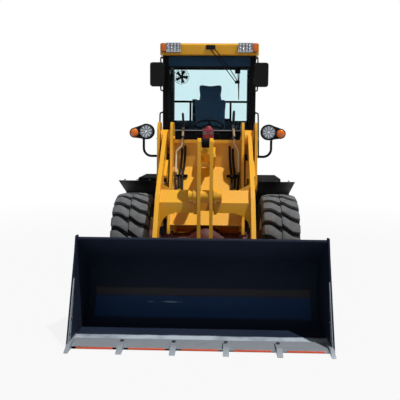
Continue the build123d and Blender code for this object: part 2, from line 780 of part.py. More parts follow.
floor_top = CAB_FLOOR_Z + CAB_WALL
STEERING_WHEEL_RADIUS = 190.0
SHOULDER_Z = 2270.0
with BuildPart() as seat:
    block((-250, 250), (cab_front_y + 560, cab_front_y + 1080), (1520, 1660))
    block((-250, 250), (cab_front_y + 1000, cab_front_y + 1120), (1660, SHOULDER_Z))
    block((-170, 170), (cab_front_y + 1020, cab_front_y + 1110), (SHOULDER_Z, roof_under - 270))
    fillet(seat.edges().filter_by(Axis.Y).group_by(Axis.Z)[-1], 50)
    fillet(seat.edges().filter_by(Axis.Z).group_by(Axis.Y)[0], 50)
    block((-180, 180), (cab_front_y + 660, cab_front_y + 980), (floor_top, 1522))
save(seat.part, "seat")

with BuildPart() as steering_column:
    plate_across(
        (
            (cab_front_y + 150, floor_top),
            (cab_front_y + 330, 1840),
            (cab_front_y + 400, 1820),
            (cab_front_y + 300, floor_top),
        ),
        -60,
        60,
    )
    wheel_spot = Plane(origin=(0, cab_front_y + 375, 1860), x_dir=(1, 0, 0), z_dir=(0, 0.35, 0.94))
    rake = Plane(origin=wheel_spot.origin, x_dir=(1, 0, 0), z_dir=wheel_spot.y_dir)
    with BuildSketch(rake):
        with Locations((STEERING_WHEEL_RADIUS, 0)):
            Circle(15)
    revolve(axis=Axis(wheel_spot.origin, wheel_spot.z_dir))
    with BuildSketch(wheel_spot.offset(-8)):
        Circle(45)
        with PolarLocations(0, 3, start_angle=30):
            with Locations((STEERING_WHEEL_RADIUS / 2, 0)):
                Rectangle(STEERING_WHEEL_RADIUS, 28)
    extrude(amount=16)
    with BuildSketch(wheel_spot.offset(-80)):
        Circle(30)
    extrude(amount=80)
save(steering_column.part, "steering_column")

MIRROR_STEM_X = 610.0
mirror_y = cab_front_y - 170
mirror_z = (roof_under - 405, roof_under - 105)
with BuildPart() as mirrors:
    block((565, 745), (mirror_y - 25, mirror_y + 25), mirror_z)
    fillet(mirrors.edges().filter_by(Axis.Y), 32)
    fillet(mirrors.edges().group_by(Axis.Y)[0], 12)
    for low, high in ((mirror_z[1] - 20, mirror_z[1] + 65), (mirror_z[0] + 20, mirror_z[0] - 45)):
        with BuildLine() as bracket:
            FilletPolyline(
                (MIRROR_STEM_X, mirror_y, low),
                (MIRROR_STEM_X, mirror_y, high),
                (MIRROR_STEM_X - 25, cab_front_y + 3, high),
                radius=30,
            )
        with BuildSketch(Plane(origin=bracket.line @ 0, z_dir=bracket.line % 0)):
            Circle(9)
        sweep(path=bracket.line)
    # the slanted brackets end flat against the cab
    block(
        (MIRROR_STEM_X - 60, MIRROR_STEM_X + 20),
        (cab_front_y - SEAT_GAP, cab_front_y + 20),
        (mirror_z[0] - 70, mirror_z[1] + 90),
        Mode.SUBTRACT,
    )
    mirror(about=Plane.YZ)
save(mirrors.part, "mirrors")

with BuildPart() as roof_lamps:
    lamp_face_y = roof_front_y - 40
    block((365, 542), (lamp_face_y, roof_front_y - SEAT_GAP), (OVERALL_HEIGHT - 122, OVERALL_HEIGHT - 5))
    block((538, 565), (roof_front_y - 20, roof_front_y - SEAT_GAP), (OVERALL_HEIGHT - 100, OVERALL_HEIGHT - 30))
    block((545, 612), (lamp_face_y, roof_front_y - SEAT_GAP), (OVERALL_HEIGHT - 118, OVERALL_HEIGHT - 9))
    fillet(roof_lamps.edges().filter_by(Axis.Y).group_by(Axis.X)[-1], 12)
    mirror(about=Plane.YZ)
save(roof_lamps.part, "roof_lamps")

# ================================================================ hood and engine doors
hood_y = (cab_rear_y + 50, tail_y - 252)
HOOD_HALF = 500.0
HOOD_BOTTOM = 1180.0
HOOD_TOP = 1800.0
HOOD_SHEET = 10.0
HOOD_POST = 60.0
HOOD_RAIL_TOP = 1700.0
grille_x = 400.0
grille_z = (1290.0, 1690.0)
lid_y = (hood_y[0] + HOOD_POST + DOOR_GAP, hood_y[1] - HOOD_POST - DOOR_GAP)
lid_z = (HOOD_BOTTOM, HOOD_RAIL_TOP)
lid_hinge_z = HOOD_RAIL_TOP + DOOR_GAP / 2
lid_hinges_y = (lid_y[0] + 150, lid_y[1] - 150)


def lid_hinge_plane(side, y):
    """Plane square to an engine door hinge, on its axis at y."""
    return Plane(origin=(side * (HOOD_HALF + HINGE_OUT), y, lid_hinge_z), z_dir=(0, 1, 0))


with BuildPart() as hood:
    block((-HOOD_HALF, HOOD_HALF), hood_y, (HOOD_TOP - HOOD_SHEET, HOOD_TOP))
    block((-HOOD_HALF, HOOD_HALF), (hood_y[0], hood_y[0] + HOOD_SHEET), (HOOD_BOTTOM, HOOD_TOP))
    block((-HOOD_HALF, HOOD_HALF), (hood_y[1] - HOOD_SHEET, hood_y[1]), (1240, HOOD_TOP))
    block(
        (-grille_x, grille_x), (hood_y[1] - HOOD_SHEET, hood_y[1]), grille_z, Mode.SUBTRACT
    )
    for x in (-HOOD_HALF, HOOD_HALF - HOOD_SHEET):
        block((x, x + HOOD_SHEET), hood_y, (HOOD_RAIL_TOP + DOOR_GAP, HOOD_TOP))
        block((x, x + HOOD_SHEET), (hood_y[0], hood_y[0] + HOOD_POST), (HOOD_BOTTOM, HOOD_TOP))
        block((x, x + HOOD_SHEET), (hood_y[1] - HOOD_POST, hood_y[1]), (1240, HOOD_TOP))
    for x in (-RAIL_X - FRAME_PLATE, RAIL_X):
        block((x, x + FRAME_PLATE), (hood_y[0], hood_y[0] + HOOD_SHEET), (RAIL_TOP, HOOD_BOTTOM))
        block((x, x + FRAME_PLATE), (hood_y[1] - HOOD_SHEET, hood_y[1]), (RAIL_TOP, 1240))
    for side in (-1, 1):
        for y in lid_hinges_y:
            at = lid_hinge_plane(side, y)
            leaf_x = sorted((side * HOOD_HALF, side * (HOOD_HALF + LEAF_THICK)))
            for start in (-KNUCKLE_LENGTH * 1.5 - 1, KNUCKLE_LENGTH / 2 + 1):
                knuckle(at, start, KNUCKLE_LENGTH, hole=False)
                leaf_z = (lid_hinge_z + KNUCKLE_RADIUS / 2, lid_hinge_z + LEAF_REACH)
                block(leaf_x, (y + start, y + start + KNUCKLE_LENGTH), leaf_z)
            with BuildSketch(at.offset(-KNUCKLE_LENGTH * 1.5 - 1)):
                Circle(HINGE_PIN_RADIUS)
            extrude(amount=3 * KNUCKLE_LENGTH + 2)
save(hood.part, "hood")

with BuildPart() as grille:
    low, high = grille_z
    block(
        (-grille_x + SEAT_GAP, grille_x - SEAT_GAP),
        (hood_y[1] - HOOD_SHEET - 10, hood_y[1] - 2),
        (low + SEAT_GAP, high - SEAT_GAP),
    )
    block(
        (-grille_x + 30, grille_x - 30),
        (hood_y[1] - HOOD_SHEET - 10, hood_y[1] - 2),
        (low + 30, high - 30),
        Mode.SUBTRACT,
    )
    slat_pitch = (high - low - 60) / 9
    for index in range(9):
        slat_z = low + 30 + index * slat_pitch
        block(
            (-grille_x + 25, grille_x - 25),
            (hood_y[1] - HOOD_SHEET - 8, hood_y[1] - 4),
            (slat_z + 8, slat_z + 22),
        )
save(grille.part, "grille")

for name, side in (("left", -1), ("right", 1)):
    with BuildPart() as engine_door:
        block(sorted((side * (HOOD_HALF - 20), side * HOOD_HALF)), lid_y, lid_z)
        leaf_x = sorted((side * HOOD_HALF, side * (HOOD_HALF + LEAF_THICK)))
        for y in lid_hinges_y:
            knuckle(lid_hinge_plane(side, y), -KNUCKLE_LENGTH / 2, KNUCKLE_LENGTH)
            leaf_z = (lid_hinge_z - LEAF_REACH, lid_hinge_z - KNUCKLE_RADIUS / 2)
            block(leaf_x, (y - KNUCKLE_LENGTH / 2, y + KNUCKLE_LENGTH / 2), leaf_z)
    save(engine_door.part, f"engine_door_{name}")

with BuildPart() as tail_lamps:
    block((520, 600), (tail_y - 170, tail_y - 110), (1230, 1310))
    mirror(about=Plane.YZ)
save(tail_lamps.part, "tail_lamps")

with BuildPart() as stacks:
    for x, radius, top in ((-260, 38, 2300), (260, 55, 2000)):
        with BuildSketch(Plane.XY.offset(HOOD_TOP)):
            with Locations((x, rear_axle_y + 560)):
                Circle(radius)
        extrude(amount=top - HOOD_TOP)
save(stacks.part, "stacks")

# ================================================================ front fenders and lamps
with BuildPart() as front_fenders:
    plate_across(
        (
            (front_axle_y + 50, 1202),
            (front_axle_y + 50, 1212),
            (front_axle_y + 560, 1040),
            (front_axle_y + 700, 780),
            (front_axle_y + 692, 776),
            (front_axle_y + 554, 1033),
        ),
        TOWER_OUTER_X + FRAME_PLATE + SEAT_GAP,
        985,
    )
    mirror(about=Plane.YZ)
save(front_fenders.part, "front_fenders")

LAMP_X = 700.0
LAMP_Z = 1760.0
lamp_y = front_axle_y + 300
with BuildPart() as lamp_arms:
    tower_face = TOWER_OUTER_X + FRAME_PLATE + SEAT_GAP
    with BuildLine() as lamp_route:
        FilletPolyline(
            (tower_face, lamp_y, 1480),
            (LAMP_X + 35, lamp_y, 1480),
            (LAMP_X + 35, lamp_y, LAMP_Z - 90),
            radius=90,
        )
    with BuildSketch(Plane(origin=lamp_route.line @ 0, z_dir=lamp_route.line % 0)):
        Circle(14)
    sweep(path=lamp_route.line)
    mirror(about=Plane.YZ)
save(lamp_arms.part, "lamp_arms")

with BuildPart() as headlamps:
    with BuildSketch(Plane.XZ.offset(-lamp_y - 55)):
        with Locations((LAMP_X, LAMP_Z)):
            Circle(90)
        with Locations((LAMP_X + 136, LAMP_Z - 15)):
            Circle(58)
        with BuildLine():
            Polyline(
                (LAMP_X + 10, LAMP_Z + 89),
                (LAMP_X + 145, LAMP_Z + 42),
                (LAMP_X + 130, LAMP_Z - 72),
                (LAMP_X - 5, LAMP_Z - 89),
                close=True,
            )
        make_face()
    extrude(amount=110)
    fillet(headlamps.edges().group_by(Axis.Y)[-1], 30)
    with BuildSketch(Plane.XY.offset(LAMP_Z - 90 + SEAT_GAP)):
        with Locations((LAMP_X + 35, lamp_y)):
            Circle(20)
    extrude(amount=30)
    mirror(about=Plane.YZ)
save(headlamps.part, "headlamps")

# ================================================================ boom
ARM_KNEE = (front_axle_y - 440, 1050)
ARM_HALF_DEPTH = 105.0
ARM_TIP_RADIUS = 72.0
HUB_RADIUS = 105.0
arm_inner = ARM_X - ARM_THICK / 2
arm_outer = ARM_X + ARM_THICK / 2
rear_run = math.dist(boom_pivot, ARM_KNEE)
front_run = math.dist(ARM_KNEE, bucket_pivot)
BRACKET_X = 86.0
BRACKET_THICK = 34.0
LUG_PLATE = 14.0
LUG_HALF = 34.0
GUSSET = 150.0

with BuildPart() as boom:
    plate_across(
        (
            along(boom_pivot, ARM_KNEE, 0, HUB_RADIUS - 5),
            along(boom_pivot, ARM_KNEE, rear_run - 60, ARM_HALF_DEPTH),
            along(ARM_KNEE, bucket_pivot, 60, ARM_HALF_DEPTH + 5),
            along(ARM_KNEE, bucket_pivot, front_run, ARM_TIP_RADIUS),
            along(ARM_KNEE, bucket_pivot, front_run, -ARM_TIP_RADIUS),
            along(ARM_KNEE, bucket_pivot, 60, -ARM_HALF_DEPTH + 5),
            along(boom_pivot, ARM_KNEE, rear_run - 60, -ARM_HALF_DEPTH),
            along(boom_pivot, ARM_KNEE, 0, -HUB_RADIUS + 5),
        ),
        arm_inner,
        arm_outer,
    )
    across(boom_pivot, TOWER_INNER_X + FRAME_PLATE + PLATE_RUN, TOWER_OUTER_X - PLATE_RUN, HUB_RADIUS)
    across(bucket_pivot, ARM_X - 50, ARM_X + 50, ARM_TIP_RADIUS)
    # lift cylinder lug plates on both faces of the arm, open between them
    lug_root = along(boom_pivot, ARM_KNEE, LIFT_EYE_RUN - 30, -40)
    for x in (ARM_X - LUG_HALF - LUG_PLATE, ARM_X + LUG_HALF):
        plate_across(
            (
                (lug_root[0] + 140, lug_root[1] + 60),
                (lift_eye[0] + 50, lift_eye[1] + 5),
                (lift_eye[0] + 25, lift_eye[1] - 45),
                (lift_eye[0] - 25, lift_eye[1] - 45),
                (lift_eye[0] - 60, lift_eye[1] + 15),
                (lug_root[0] - 150, lug_root[1] - 100),
            ),
            x,
            x + LUG_PLATE,
        )
    plate_across(
        (
            (lug_root[0] + 140, lug_root[1] + 60),
            (lug_root[0] + 140, lug_root[1] + 20),
            (lug_root[0] - 130, lug_root[1] - 130),
            (lug_root[0] - 150, lug_root[1] - 100),
        ),
        ARM_X - LUG_HALF - LUG_PLATE,
        ARM_X + LUG_HALF + LUG_PLATE,
    )
    # bell crank brackets on the crossbeam
    plate_across(
        (
            (crank_pivot[0] + 60, 905),
            (crank_pivot[0] + 60, 960),
            (crank_pivot[0] - 70, crank_pivot[1] - 30),
            (crank_pivot[0] - 60, crank_pivot[1] + 55),
            (crank_pivot[0] + 20, crank_pivot[1] + 75),
            (crank_pivot[0] + 220, 1150),
            (crank_pivot[0] + 220, 1000),
        ),
        BRACKET_X,
        BRACKET_X + BRACKET_THICK,
    )
    across(crank_pivot, BRACKET_X, BRACKET_X + BRACKET_THICK, 78)
    bore_radius = PIN_RADIUS + PIN_RUN
    across(boom_pivot, ARM_X - 60, ARM_X + 60, bore_radius, Mode.SUBTRACT)
    across(bucket_pivot, ARM_X - 60, ARM_X + 60, bore_radius, Mode.SUBTRACT)
    across(crank_pivot, BRACKET_X - 5, BRACKET_X + BRACKET_THICK + 5, bore_radius, Mode.SUBTRACT)
    mirror(about=Plane.YZ)
    # box crossbeam between the arms
    plate_across(
        (
            (front_axle_y - 525, 925),
            (front_axle_y - 525, 1030),
            (front_axle_y - 400, 1150),
            (front_axle_y - 320, 1130),
            (front_axle_y - 320, 1000),
            (front_axle_y - 400, 925),
        ),
        -arm_inner,
        arm_inner,
    )
    # rounded gussets below the ends of the beam and flat ones above them
    for side in (-1, 1):
        with BuildSketch(Plane.XZ.offset(-(front_axle_y - 509))) as low_gusset:
            with Locations((side * (arm_inner - GUSSET / 2), 925 - GUSSET / 2)):
                Rectangle(GUSSET, GUSSET)
            with Locations((side * (arm_inner - GUSSET), 925 - GUSSET)):
                Circle(GUSSET - 12, mode=Mode.SUBTRACT)
        extrude(low_gusset.sketch, amount=16)
        with BuildSketch(Plane.XZ.offset(-(front_axle_y - 384))) as top_gusset:
            with BuildLine():
                Polyline(
                    (side * arm_inner, 1120),
                    (side * arm_inner, 1215),
                    (side * (arm_inner - 130), 1146),
                    (side * (arm_inner - 130), 1120),
                    close=True,
                )
            make_face()
        extrude(top_gusset.sketch, amount=16)
    # the bell crank swings through a slot in the middle of the beam
    block((-BRACKET_X, BRACKET_X), (front_axle_y - 540, front_axle_y - 395), (900, 1170), Mode.SUBTRACT)
save(boom.part, "boom")

# ================================================================ bucket
half_bucket = BUCKET_WIDTH / 2
floor_z = BUCKET_GROUND_GAP
heel = (lip_y + BUCKET_FLOOR_RUN, floor_z + BUCKET_HEEL_RADIUS)
EDGE_DEPTH = 205.0
EDGE_THICK = 22.0


def heel_end(radius):
    """Point where the rounded heel of the given radius meets the straight back."""
    lean = math.radians(BUCKET_BACK_LEAN)
    return (heel[0] + radius * math.cos(lean), heel[1] + radius * math.sin(lean))


def up_the_back(start, height):
    """Point on the straight back above start at the given height."""
    lean = math.radians(BUCKET_BACK_LEAN)
    run = (height - start[1]) / math.cos(lean)
    return (start[0] - run * math.sin(lean), height)


outer_end = heel_end(BUCKET_HEEL_RADIUS)
rim = up_the_back(outer_end, BUCKET_RIM_HEIGHT)
inner_radius = BUCKET_HEEL_RADIUS - BUCKET_WALL
inner_end = heel_end(inner_radius)
beyond_rim = up_the_back(inner_end, BUCKET_RIM_HEIGHT + 300)
EAR_THICK = 26.0
EAR_INNER_X = ARM_X - 50 - PLATE_RUN - EAR_THICK
EAR_OUTER_X = ARM_X + 50 + PLATE_RUN
LINK_EAR_X = 45.0
LINK_EAR_THICK = 22.0

with BuildPart() as bucket:
    with BuildSketch(Plane.YZ.offset(-half_bucket)) as silhouette:
        with BuildLine():
            Line((lip_y, floor_z), (heel[0], floor_z))
            CenterArc(heel, BUCKET_HEEL_RADIUS, -90, 90 + BUCKET_BACK_LEAN)
            Line(outer_end, rim)
            Line(rim, (lip_y, floor_z))
        make_face()
    extrude(amount=BUCKET_WIDTH)
    with BuildSketch(Plane.YZ.offset(-half_bucket + BUCKET_SIDE_WALL)) as hollow:
        with BuildLine():
            Line((lip_y - 600, floor_z + BUCKET_WALL), (heel[0], floor_z + BUCKET_WALL))
            CenterArc(heel, inner_radius, -90, 90 + BUCKET_BACK_LEAN)
            Line(inner_end, beyond_rim)
            Line(beyond_rim, (lip_y - 600, beyond_rim[1]))
            Line((lip_y - 600, beyond_rim[1]), (lip_y - 600, floor_z + BUCKET_WALL))
        make_face()
    extrude(amount=BUCKET_WIDTH - 2 * BUCKET_SIDE_WALL, mode=Mode.SUBTRACT)
    # room for the cutting edge
    block(
        (-half_bucket, half_bucket),
        (lip_y - 10, lip_y + EDGE_DEPTH),
        (0, floor_z + EDGE_THICK + SEAT_GAP),
        Mode.SUBTRACT,
    )
    # rim bar
    plate_across(
        (
            (rim[0] + 2, rim[1] - 45),
            (rim[0] + 2, rim[1]),
            (rim[0] + 70, rim[1] - 2),
            (rim[0] + 70, rim[1] - 50),
        ),
        -half_bucket,
        half_bucket,
    )
    # side plates stand a little above the rim
    for x in (-half_bucket, half_bucket - BUCKET_SIDE_WALL):
        plate_across(
            (
                (rim[0] - 45, rim[1] - 95),
                (rim[0] - 4, rim[1] + 18),
                (rim[0] + 60, rim[1] + 18),
                (rim[0] + 85, rim[1] - 40),
                (rim[0] + 50, rim[1] - 60),
            ),
            x,
            x + BUCKET_SIDE_WALL,
        )
    for x in (-EAR_OUTER_X - EAR_THICK, -EAR_INNER_X - EAR_THICK, EAR_INNER_X, EAR_OUTER_X):
        plate_across(
            (
                (heel[0] + 200, 60),
                (bucket_pivot[0] + 30, bucket_pivot[1] - 62),
                (bucket_pivot[0] + 68, bucket_pivot[1]),
                (bucket_pivot[0] + 45, bucket_pivot[1] + 52),
                (heel[0] + 250, 560),
            ),
            x,
            x + EAR_THICK,
        )
        across(bucket_pivot, x - 1, x + EAR_THICK + 1, PIN_RADIUS + PIN_RUN, Mode.SUBTRACT)
    for x in (-LINK_EAR_X - LINK_EAR_THICK, LINK_EAR_X):
        plate_across(
            (
                (heel[0] + 270, 180),
                (bucket_lug[0] + 30, bucket_lug[1] - 50),
                (bucket_lug[0] + 52, bucket_lug[1] + 10),
                (bucket_lug[0] + 10, bucket_lug[1] + 55),
                (heel[0] + 200, 560),
            ),
            x,
            x + LINK_EAR_THICK,
        )
    across(bucket_lug, LINK_EAR_X + LINK_EAR_THICK, LINK_EAR_X + LINK_EAR_THICK + 8, 34)
    across(bucket_lug, -LINK_EAR_X - LINK_EAR_THICK - 8, -LINK_EAR_X - LINK_EAR_THICK, 34)
    # clear the inside again where ears and rim bar reached through the back
    extrude(hollow.sketch, amount=BUCKET_WIDTH - 2 * BUCKET_SIDE_WALL, mode=Mode.SUBTRACT)
save(bucket.part, "bucket")

with BuildPart() as cutting_edge:
    block((-half_bucket, half_bucket), (lip_y, lip_y + EDGE_DEPTH - SEAT_GAP), (floor_z, floor_z + EDGE_THICK))
    tooth_span = BUCKET_WIDTH - TOOTH_WIDTH
    for index in range(TOOTH_COUNT):
        x = -tooth_span / 2 + index * tooth_span / (TOOTH_COUNT - 1)
        edge_top = floor_z + EDGE_THICK
        plate_across(
            (
                (lip_y - TOOTH_REACH, floor_z + 2),
                (lip_y - TOOTH_REACH, floor_z + 10),
                (lip_y - 35, floor_z + 42),
                (lip_y + 15, floor_z + 46),
                (lip_y + 130, edge_top + 14),
                (lip_y + 130, edge_top),
                (lip_y, edge_top),
                (lip_y, floor_z + 2),
            ),
            x - TOOTH_WIDTH / 2 + (BUCKET_SIDE_WALL if index == 0 else 0),
            x + TOOTH_WIDTH / 2 - (BUCKET_SIDE_WALL if index == TOOTH_COUNT - 1 else 0),
        )
save(cutting_edge.part, "cutting_edge")

FLANGE_THICK = 30.0
BUCKET_FLANGE = 76.0
CRANK_FLANGE = 62.0
CRANK_FLANGE_THICK = 50.0
LINK_FLANGE = 60.0
with BuildPart() as bucket_pins:
    across(bucket_pivot, EAR_INNER_X - 6, EAR_OUTER_X + EAR_THICK + 6, PIN_RADIUS)
    across(bucket_pivot, EAR_INNER_X - SEAT_GAP - FLANGE_THICK, EAR_INNER_X - SEAT_GAP, BUCKET_FLANGE)
    flange_x = EAR_OUTER_X + EAR_THICK + SEAT_GAP
    across(bucket_pivot, flange_x, flange_x + FLANGE_THICK, BUCKET_FLANGE)
    mirror(about=Plane.YZ)
save(bucket_pins.part, "bucket_pins")

# ================================================================ bell crank and link
CRANK_X = 45.0
CRANK_THICK = 35.0
EYE_HALF = 39.0
PIN_HEAD = 8.0
with BuildPart() as bell_crank:
    for x in (-CRANK_X - CRANK_THICK, CRANK_X):
        plate_across(
            (
                along(crank_top, crank_pivot, 0, 50),
                along(crank_pivot, crank_foot, 0, 74),
                along(crank_pivot, crank_foot, math.dist(crank_pivot, crank_foot), 52),
                along(crank_pivot, crank_foot, math.dist(crank_pivot, crank_foot), -52),
                along(crank_pivot, crank_foot, 0, -74),
                along(crank_top, crank_pivot, 0, -50),
            ),
            x,
            x + CRANK_THICK,
        )
        across(crank_top, x, x + CRANK_THICK, 50)
        across(crank_foot, x, x + CRANK_THICK, 52)
    across(crank_pivot, -CRANK_X, CRANK_X, 62)
    across((crank_top[0] + 2, crank_top[1] - 230), -CRANK_X, CRANK_X, 14)
    across(crank_pivot, -CRANK_X - CRANK_THICK - 1, CRANK_X + CRANK_THICK + 1, PIN_RADIUS + PIN_RUN, Mode.SUBTRACT)
    across(crank_foot, -CRANK_X - CRANK_THICK - 1, CRANK_X + CRANK_THICK + 1, PIN_RADIUS + PIN_RUN, Mode.SUBTRACT)
    for x in (-CRANK_X - CRANK_THICK - PIN_HEAD, CRANK_X + CRANK_THICK):
        across(crank_top, x, x + PIN_HEAD, 32)
save(bell_crank.part, "bell_crank")

with BuildPart() as crank_pin:
    flange_x = BRACKET_X + BRACKET_THICK + SEAT_GAP
    across(crank_pivot, -flange_x - 1, flange_x + 1, PIN_RADIUS)
    for x in (-flange_x - CRANK_FLANGE_THICK, flange_x):
        across(crank_pivot, x, x + CRANK_FLANGE_THICK, CRANK_FLANGE)
save(crank_pin.part, "crank_pin")

with BuildPart() as link_pin:
    flange_x = CRANK_X + CRANK_THICK + SEAT_GAP
    across(crank_foot, -flange_x - 1, flange_x + 1, PIN_RADIUS)
    for x in (-flange_x - FLANGE_THICK, flange_x):
        across(crank_foot, x, x + FLANGE_THICK, LINK_FLANGE)
save(link_pin.part, "link_pin")

with BuildPart() as bucket_link:
    link_run = math.dist(crank_foot, bucket_lug)
    plate_across(
        (
            along(crank_foot, bucket_lug, 0, 38),
            along(crank_foot, bucket_lug, link_run, 34),
            along(crank_foot, bucket_lug, link_run, -34),
            along(crank_foot, bucket_lug, 0, -38),
        ),
        -EYE_HALF,
        EYE_HALF,
    )
    across(crank_foot, -EYE_HALF, EYE_HALF, 52)
    across(bucket_lug, -EYE_HALF, EYE_HALF, 46)
    across(crank_foot, -EYE_HALF - 1, EYE_HALF + 1, PIN_RADIUS + PIN_RUN, Mode.SUBTRACT)
    across(bucket_lug, -EYE_HALF - 1, EYE_HALF + 1, PIN_RADIUS + PIN_RUN, Mode.SUBTRACT)
save(bucket_link.part, "bucket_link")

# ================================================================ cylinders


def barrel(base, tip, x, eye_half, eye_radius, tube_radius, rod_radius, start, end, base_bore):
    """Add a cylinder barrel in the (y, z) plane at x: base eye, hollow tube from start to end."""
    across(base, x - eye_half, x + eye_half, eye_radius)
    direction = (0, tip[0] - base[0], tip[1] - base[1])
    with BuildSketch(Plane(origin=(x, *along(base, tip, eye_radius * 0.6)), z_dir=direction)) as tube:
        Circle(tube_radius)
    extrude(tube.sketch, amount=end - eye_radius * 0.6)
    across(base, x - eye_half - 1, x + eye_half + 1, base_bore, Mode.SUBTRACT)
    with BuildSketch(Plane(origin=(x, *along(base, tip, start)), z_dir=direction)) as bore:
        Circle(rod_radius + PIN_RUN)
    extrude(bore.sketch, amount=end, mode=Mode.SUBTRACT)


def rod(base, tip, x, eye_half, eye_radius, rod_radius, inside, tip_bore):
    """Add a cylinder rod in the (y, z) plane at x: from its end inside the barrel to the tip eye."""
    length = math.dist(base, tip)
    direction = (0, tip[0] - base[0], tip[1] - base[1])
    with BuildSketch(Plane(origin=(x, *along(base, tip, inside)), z_dir=direction)) as bar:
        Circle(rod_radius)
    extrude(bar.sketch, amount=length - inside - eye_radius * 0.6)
    across(tip, x - eye_half, x + eye_half, eye_radius)
    across(tip, x - eye_half - 1, x + eye_half + 1, tip_bore, Mode.SUBTRACT)


pin_bore = PIN_RADIUS + PIN_RUN
LIFT_TUBE = 48.0
LIFT_ROD = 28.0
lift_length = math.dist(lift_anchor, lift_eye)
with BuildPart() as lift_barrels:
    barrel(lift_anchor, lift_eye, ARM_X, 50, 50, LIFT_TUBE, LIFT_ROD, 80, lift_length - 80, pin_bore)
    mirror(about=Plane.YZ)
save(lift_barrels.part, "lift_barrels")
with BuildPart() as lift_rods:
    rod(lift_anchor, lift_eye, ARM_X, ARM_THICK / 2 - PLATE_RUN, 42, LIFT_ROD, 90, 20)
    mirror(about=Plane.YZ)
save(lift_rods.part, "lift_rods")

TILT_TUBE = 62.0
TILT_ROD = 32.0
with BuildPart() as tilt_barrel:
    barrel(tilt_anchor, crank_top, 0, TILT_EAR_X - PLATE_RUN, 55, TILT_TUBE, TILT_ROD, 95, 640, pin_bore)
save(tilt_barrel.part, "tilt_barrel")
with BuildPart() as tilt_rod:
    rod(tilt_anchor, crank_top, 0, EYE_HALF, 48, TILT_ROD, 230, pin_bore)
save(tilt_rod.part, "tilt_rod")

STEER_TUBE = 36.0
STEER_TUBE_LENGTH = 364.0
STEER_ROD = 20.0
STEER_EYE_RADIUS = 38.0
STEER_PIN = 24.0
for name, side in (("left", -1), ("right", 1)):
    base = Vector(side * STEER_BASE_X, pivot_y + STEER_BASE_BEHIND, STEER_Z)
    tip = Vector(side * STEER_ROD_X, pivot_y - STEER_ROD_AHEAD, STEER_Z)
    run = tip - base
    eye_low = STEER_Z - STEER_EYE_HALF
    with BuildPart() as steer_barrel:
        with BuildSketch(Plane.XY.offset(eye_low)):
            with Locations((base.X, base.Y)):
                Circle(STEER_EYE_RADIUS)
        extrude(amount=2 * STEER_EYE_HALF)
        with BuildSketch(Plane(origin=base + run.normalized() * 36, z_dir=run)):
            Circle(STEER_TUBE)
        extrude(amount=STEER_TUBE_LENGTH)
        with BuildSketch(Plane(origin=base, z_dir=run)):
            Circle(STEER_EYE_HALF - 2)
        extrude(amount=40)
        with BuildSketch(Plane.XY.offset(eye_low - 10)):
            with Locations((base.X, base.Y)):
                Circle(STEER_PIN + PIN_RUN)
        extrude(amount=2 * STEER_EYE_HALF + 20, mode=Mode.SUBTRACT)
        with BuildSketch(Plane(origin=base + run.normalized() * 55, z_dir=run)):
            Circle(STEER_ROD + PIN_RUN)
        extrude(amount=410, mode=Mode.SUBTRACT)
    save(steer_barrel.part, f"steer_barrel_{name}")
    with BuildPart() as steer_rod:
        with BuildSketch(Plane(origin=base + run.normalized() * 220, z_dir=run)):
            Circle(STEER_ROD)
        extrude(amount=run.length - 220 - 25)
        with BuildSketch(Plane.XY.offset(eye_low)):
            with Locations((tip.X, tip.Y)):
                Circle(STEER_EYE_RADIUS)
        extrude(amount=2 * STEER_EYE_HALF)
        with BuildSketch(Plane.XY.offset(eye_low - 10)):
            with Locations((tip.X, tip.Y)):
                Circle(STEER_PIN)
        extrude(amount=2 * STEER_EYE_HALF + 20, mode=Mode.SUBTRACT)
    save(steer_rod.part, f"steer_rod_{name}")
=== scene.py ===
"""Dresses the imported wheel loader: finishes, tyres, lamps, cab fittings, hydraulic lines, camera and light.

Everything is in metres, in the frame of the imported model: the bucket points to -Y and +Z is up.
"""
from __future__ import annotations

import json
import logging
import math
from dataclasses import dataclass, field
from enum import Enum
from typing import Iterable, Sequence

import bpy
from mathutils import Matrix, Vector

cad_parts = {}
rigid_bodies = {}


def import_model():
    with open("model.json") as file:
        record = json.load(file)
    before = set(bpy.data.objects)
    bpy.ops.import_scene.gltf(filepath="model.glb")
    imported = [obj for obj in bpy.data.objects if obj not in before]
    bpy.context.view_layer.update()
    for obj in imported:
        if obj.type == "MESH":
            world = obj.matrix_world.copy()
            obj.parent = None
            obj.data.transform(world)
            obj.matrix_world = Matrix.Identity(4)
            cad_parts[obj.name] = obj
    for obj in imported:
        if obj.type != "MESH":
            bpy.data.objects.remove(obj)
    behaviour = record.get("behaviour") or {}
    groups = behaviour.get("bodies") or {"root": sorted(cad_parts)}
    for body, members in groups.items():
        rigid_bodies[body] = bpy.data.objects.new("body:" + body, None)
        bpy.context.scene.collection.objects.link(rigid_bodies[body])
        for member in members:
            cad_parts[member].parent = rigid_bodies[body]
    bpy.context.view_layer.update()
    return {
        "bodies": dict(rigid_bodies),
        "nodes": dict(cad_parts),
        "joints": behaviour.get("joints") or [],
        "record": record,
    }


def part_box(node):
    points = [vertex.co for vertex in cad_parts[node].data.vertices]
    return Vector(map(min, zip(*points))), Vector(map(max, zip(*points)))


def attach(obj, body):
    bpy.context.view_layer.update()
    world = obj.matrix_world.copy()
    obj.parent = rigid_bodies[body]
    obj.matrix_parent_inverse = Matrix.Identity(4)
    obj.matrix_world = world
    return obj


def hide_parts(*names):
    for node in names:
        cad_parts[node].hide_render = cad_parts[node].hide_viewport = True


LOG = logging.getLogger("loader")
Point = Sequence[float]
Colour = tuple[float, float, float]


class Side(Enum):
    """The two sides of the machine, as the sign of X."""

    LEFT = -1
    RIGHT = 1

    @property
    def label(self) -> str:
        """The side's word in the names of nodes and pieces."""
        return self.name.lower()


# ---------------------------------------------------------------- finishes


